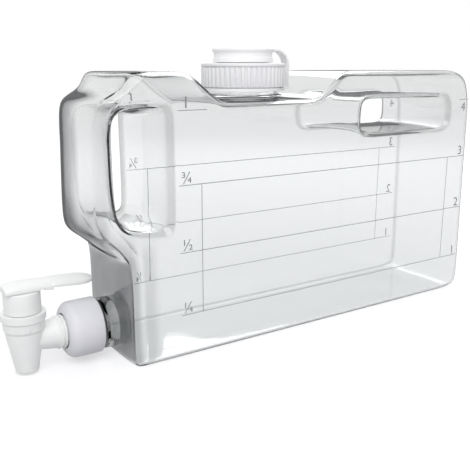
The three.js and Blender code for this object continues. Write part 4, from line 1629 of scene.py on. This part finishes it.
        # Place along the lever, half width, and height of the underside and of the top.
        sizes = (
            (-12.2, 7.0, 0.4, 3.6), (-12.0, 8.2, 0.1, 4.2), (-10.6, 9.0, 0.0, 4.6),
            (-7.0, half, 0.0, 5.5), (-3.4, half, 0.0, 5.9), (3.4, half, 0.0, 5.9),
            (9.0, half, 0.0, 5.6), (12.8, half, -0.2, 5.4), (17.8, half, -0.7, 5.1),
            (18.6, half, -0.6, 5.1), (18.8, 9.2, 0.6, 5.1), (19.6, 9.3, 0.7, 5.1),
            (26.0, wide, 0.2, 5.0), (37.0, wide, -0.6, 4.4), (42.6, 8.6, -0.6, 3.6),
            (45.8, 6.4, -0.2, 2.7), (47.2, 4.4, 0.2, 1.9), (47.6, 3.0, 0.4, 1.6),
        )
        stations = [
            Station(self.axis + x, width, base + low, base + high) for x, width, low, high in sizes
        ]
        lever = Bench.drawn("press_lever", shares, stations)
        lever.soften(self.lever_rounding, 2, self.soft_angle)
        pocket = ((-6.9, -2.0), (6.9, -2.0), (5.2, 3.2), (2.6, 5.2), (-3.2, 5.2), (-5.2, 3.2))
        relief = ((8.5, 0.0), (12.8, -2.0), (12.8, 1.3))
        lever.combine(self.side("lever_pocket", pocket, base, self.pocket_half), "DIFFERENCE")
        lever.combine(self.side("lever_relief", relief, base, self.relief_half), "DIFFERENCE")
        lever.dress(TAP_WHITE, "lever", "tap_white", "tap_lever")

    def build_spring(self) -> None:
        """Wind the spring with closer turns at its ends."""
        low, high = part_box("tap_spring")
        clear_bench()
        bpy.ops.mesh.primitive_circle_add(vertices=self.wire_sides, radius=self.wire * MM)
        spring = Bench("return_spring")
        for vertex in spring.shape.data.vertices:
            x, y, _ = vertex.co
            vertex.co = Vector((self.coil * MM + x, 0.0, y))
        spring.modify("SCREW", iterations=self.turns, steps=self.turn_steps, screw_offset=0.0)
        bottom, top = low.z / MM + self.wire, high.z / MM - self.wire
        open_turns = self.turns - 2
        open_pitch = (top - bottom - 2 * self.end_pitch) / open_turns
        for vertex in spring.shape.data.vertices:
            turn = vertex.index // self.wire_sides / self.turn_steps
            opened = min(max(turn - 1, 0.0), open_turns)
            rise = bottom + open_pitch * opened + self.end_pitch * (turn - opened)
            vertex.co += self.centre + Vector((0.0, 0.0, rise * MM))
        with spring.editing():
            bpy.ops.mesh.fill_holes(sides=0)
        spring.close_up()
        spring.dress(WIRE, "bonnet", "spring_steel", "tap_spring")
        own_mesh(spring.shape)


@dataclass(frozen=True)
class Lamp:
    """A soft square lamp: its name, its place and side in metres, and its power in watts."""

    name: str
    place: Place
    size: float
    power: float


@dataclass
class Studio:
    """Plain white studio with soft lamps, and the camera at the photograph's angle."""

    camera_place: Place = (-0.2955, -0.4172, 0.1958)
    camera_tilt: float = 75.89
    camera_heading: float = -33.5
    lens: float = 51.26
    world_light: float = 0.62
    floor_size: float = 5.0
    floor_drop: float = 0.0003
    floor_colour: str = "#c4c4c6"
    glow_start: float = 0.25
    glow_end: float = 1.2
    glow_least: float = 0.5
    glow_most: float = 0.66
    lamp_target: Place = (0.0, 0.0, 0.1)
    lamps: tuple[Lamp, ...] = (
        Lamp("key_lamp", (-0.5, -0.7, 0.9), 0.9, 7.5),
        Lamp("rear_lamp", (0.6, 0.7, 0.8), 0.7, 4.0),
    )

    def build(self) -> None:
        """Set the camera, the world, the floor and the lamps."""
        self.set_camera()
        self.set_world()
        self.lay_floor()
        for lamp in self.lamps:
            self.hang(lamp)
        bpy.context.scene.view_settings.view_transform = "Standard"

    def set_camera(self) -> None:
        """Stand the camera where the photograph was taken."""
        data = bpy.data.cameras.new("camera")
        data.lens = self.lens
        camera = bpy.data.objects.new("camera", data)
        bpy.context.scene.collection.objects.link(camera)
        camera.location = self.camera_place
        tilt, heading = math.radians(self.camera_tilt), math.radians(self.camera_heading)
        camera.rotation_euler = (tilt, 0.0, heading)
        bpy.context.scene.camera = camera

    def set_world(self) -> None:
        """Make the surroundings white to the eye and softer as a light."""
        world = bpy.data.worlds.new("white_studio")
        bpy.context.scene.world = world
        world.use_nodes = True
        tree = world.node_tree
        tree.nodes.clear()
        level = add_node(
            tree, "ShaderNodeMapRange",
            {"To Min": self.world_light, "To Max": 1.0}, {"Value": seen_directly(tree)},
        )
        light = add_node(
            tree, "ShaderNodeBackground", {"Color": linear(WHITE)}, {"Strength": level.outputs[0]}
        )
        add_node(tree, "ShaderNodeOutputWorld", None, {"Surface": light.outputs[0]})

    def lay_floor(self) -> None:
        """Lay a pale floor that keeps the jug's shadow and fades into white."""
        clear_bench()
        bpy.ops.mesh.primitive_plane_add(
            size=self.floor_size, location=(0.0, 0.0, -self.floor_drop)
        )
        floor = bpy.context.object
        floor.name = "studio_floor"
        material, tree = blank_material("pale_floor")
        place = add_node(tree, "ShaderNodeTexCoord")
        ball = add_node(
            tree, "ShaderNodeVectorMath", {"operation": "LENGTH"}, {0: place.outputs["Object"]}
        )
        glow = add_node(
            tree, "ShaderNodeMapRange",
            {
                "From Min": self.glow_start,
                "From Max": self.glow_end,
                "To Min": self.glow_least,
                "To Max": self.glow_most,
            },
            {"Value": ball.outputs["Value"]},
        )
        seen = add_node(
            tree, "ShaderNodeMath", {"operation": "MULTIPLY"},
            {0: glow.outputs[0], 1: seen_directly(tree)},
        )
        paint = add_node(tree, "ShaderNodeBsdfDiffuse", {"Color": linear(self.floor_colour)})
        shine = add_node(
            tree, "ShaderNodeEmission", {"Color": linear(WHITE)}, {"Strength": seen.outputs[0]}
        )
        both = add_node(
            tree, "ShaderNodeAddShader", None, {0: paint.outputs[0], 1: shine.outputs[0]}
        )
        add_node(tree, "ShaderNodeOutputMaterial", None, {"Surface": both.outputs[0]})
        floor.data.materials.append(material)

    def hang(self, lamp: Lamp) -> None:
        """Hang a lamp so that it faces the jug.

        Args:
            lamp: The lamp.
        """
        data = bpy.data.lights.new(lamp.name, "AREA")
        data.size = lamp.size
        data.energy = lamp.power
        light = bpy.data.objects.new(lamp.name, data)
        bpy.context.scene.collection.objects.link(light)
        light.location = lamp.place
        aim = Vector(self.lamp_target) - Vector(lamp.place)
        light.rotation_euler = aim.to_track_quat("-Z", "Y").to_euler()


def dress_packed_nodes() -> None:
    """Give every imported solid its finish, whether a finer piece stands for it or not."""
    finishes = {
        "jug_body": CLEAR,
        "cap_ring": CAP_WHITE,
        "cap_gasket": SILICONE,
        "pour_lid": LID_WHITE,
        "lid_strap": LID_WHITE,
        "tap_collar_nut": COLLAR_WHITE,
        "tap_gasket": SILICONE,
        "tap_body": TAP_WHITE,
        "bonnet_seal": SILICONE,
        "tap_bonnet": TAP_WHITE,
        "valve_stem": TAP_WHITE,
        "valve_plug": SILICONE,
        "tap_spring": WIRE,
        "tap_lever": TAP_WHITE,
        "lever_pin": TAP_WHITE,
    }
    for name, finish in finishes.items():
        node = frame["nodes"][name]
        node.data.materials.clear()
        node.data.materials.append(material_for(finish))
        LOG.info("%s: %s", name, finish.name)


def main() -> None:
    """Build the studio and the jug, piece by piece."""
    logging.basicConfig(level=logging.INFO, format="%(message)s")
    Studio().build()
    dress_packed_nodes()
    for piece in (JugShell(), PrintedScale(), ScrewCap(), Closure(), CollarNut(), Tap()):
        piece.build()


if __name__ == "__main__":
    main()
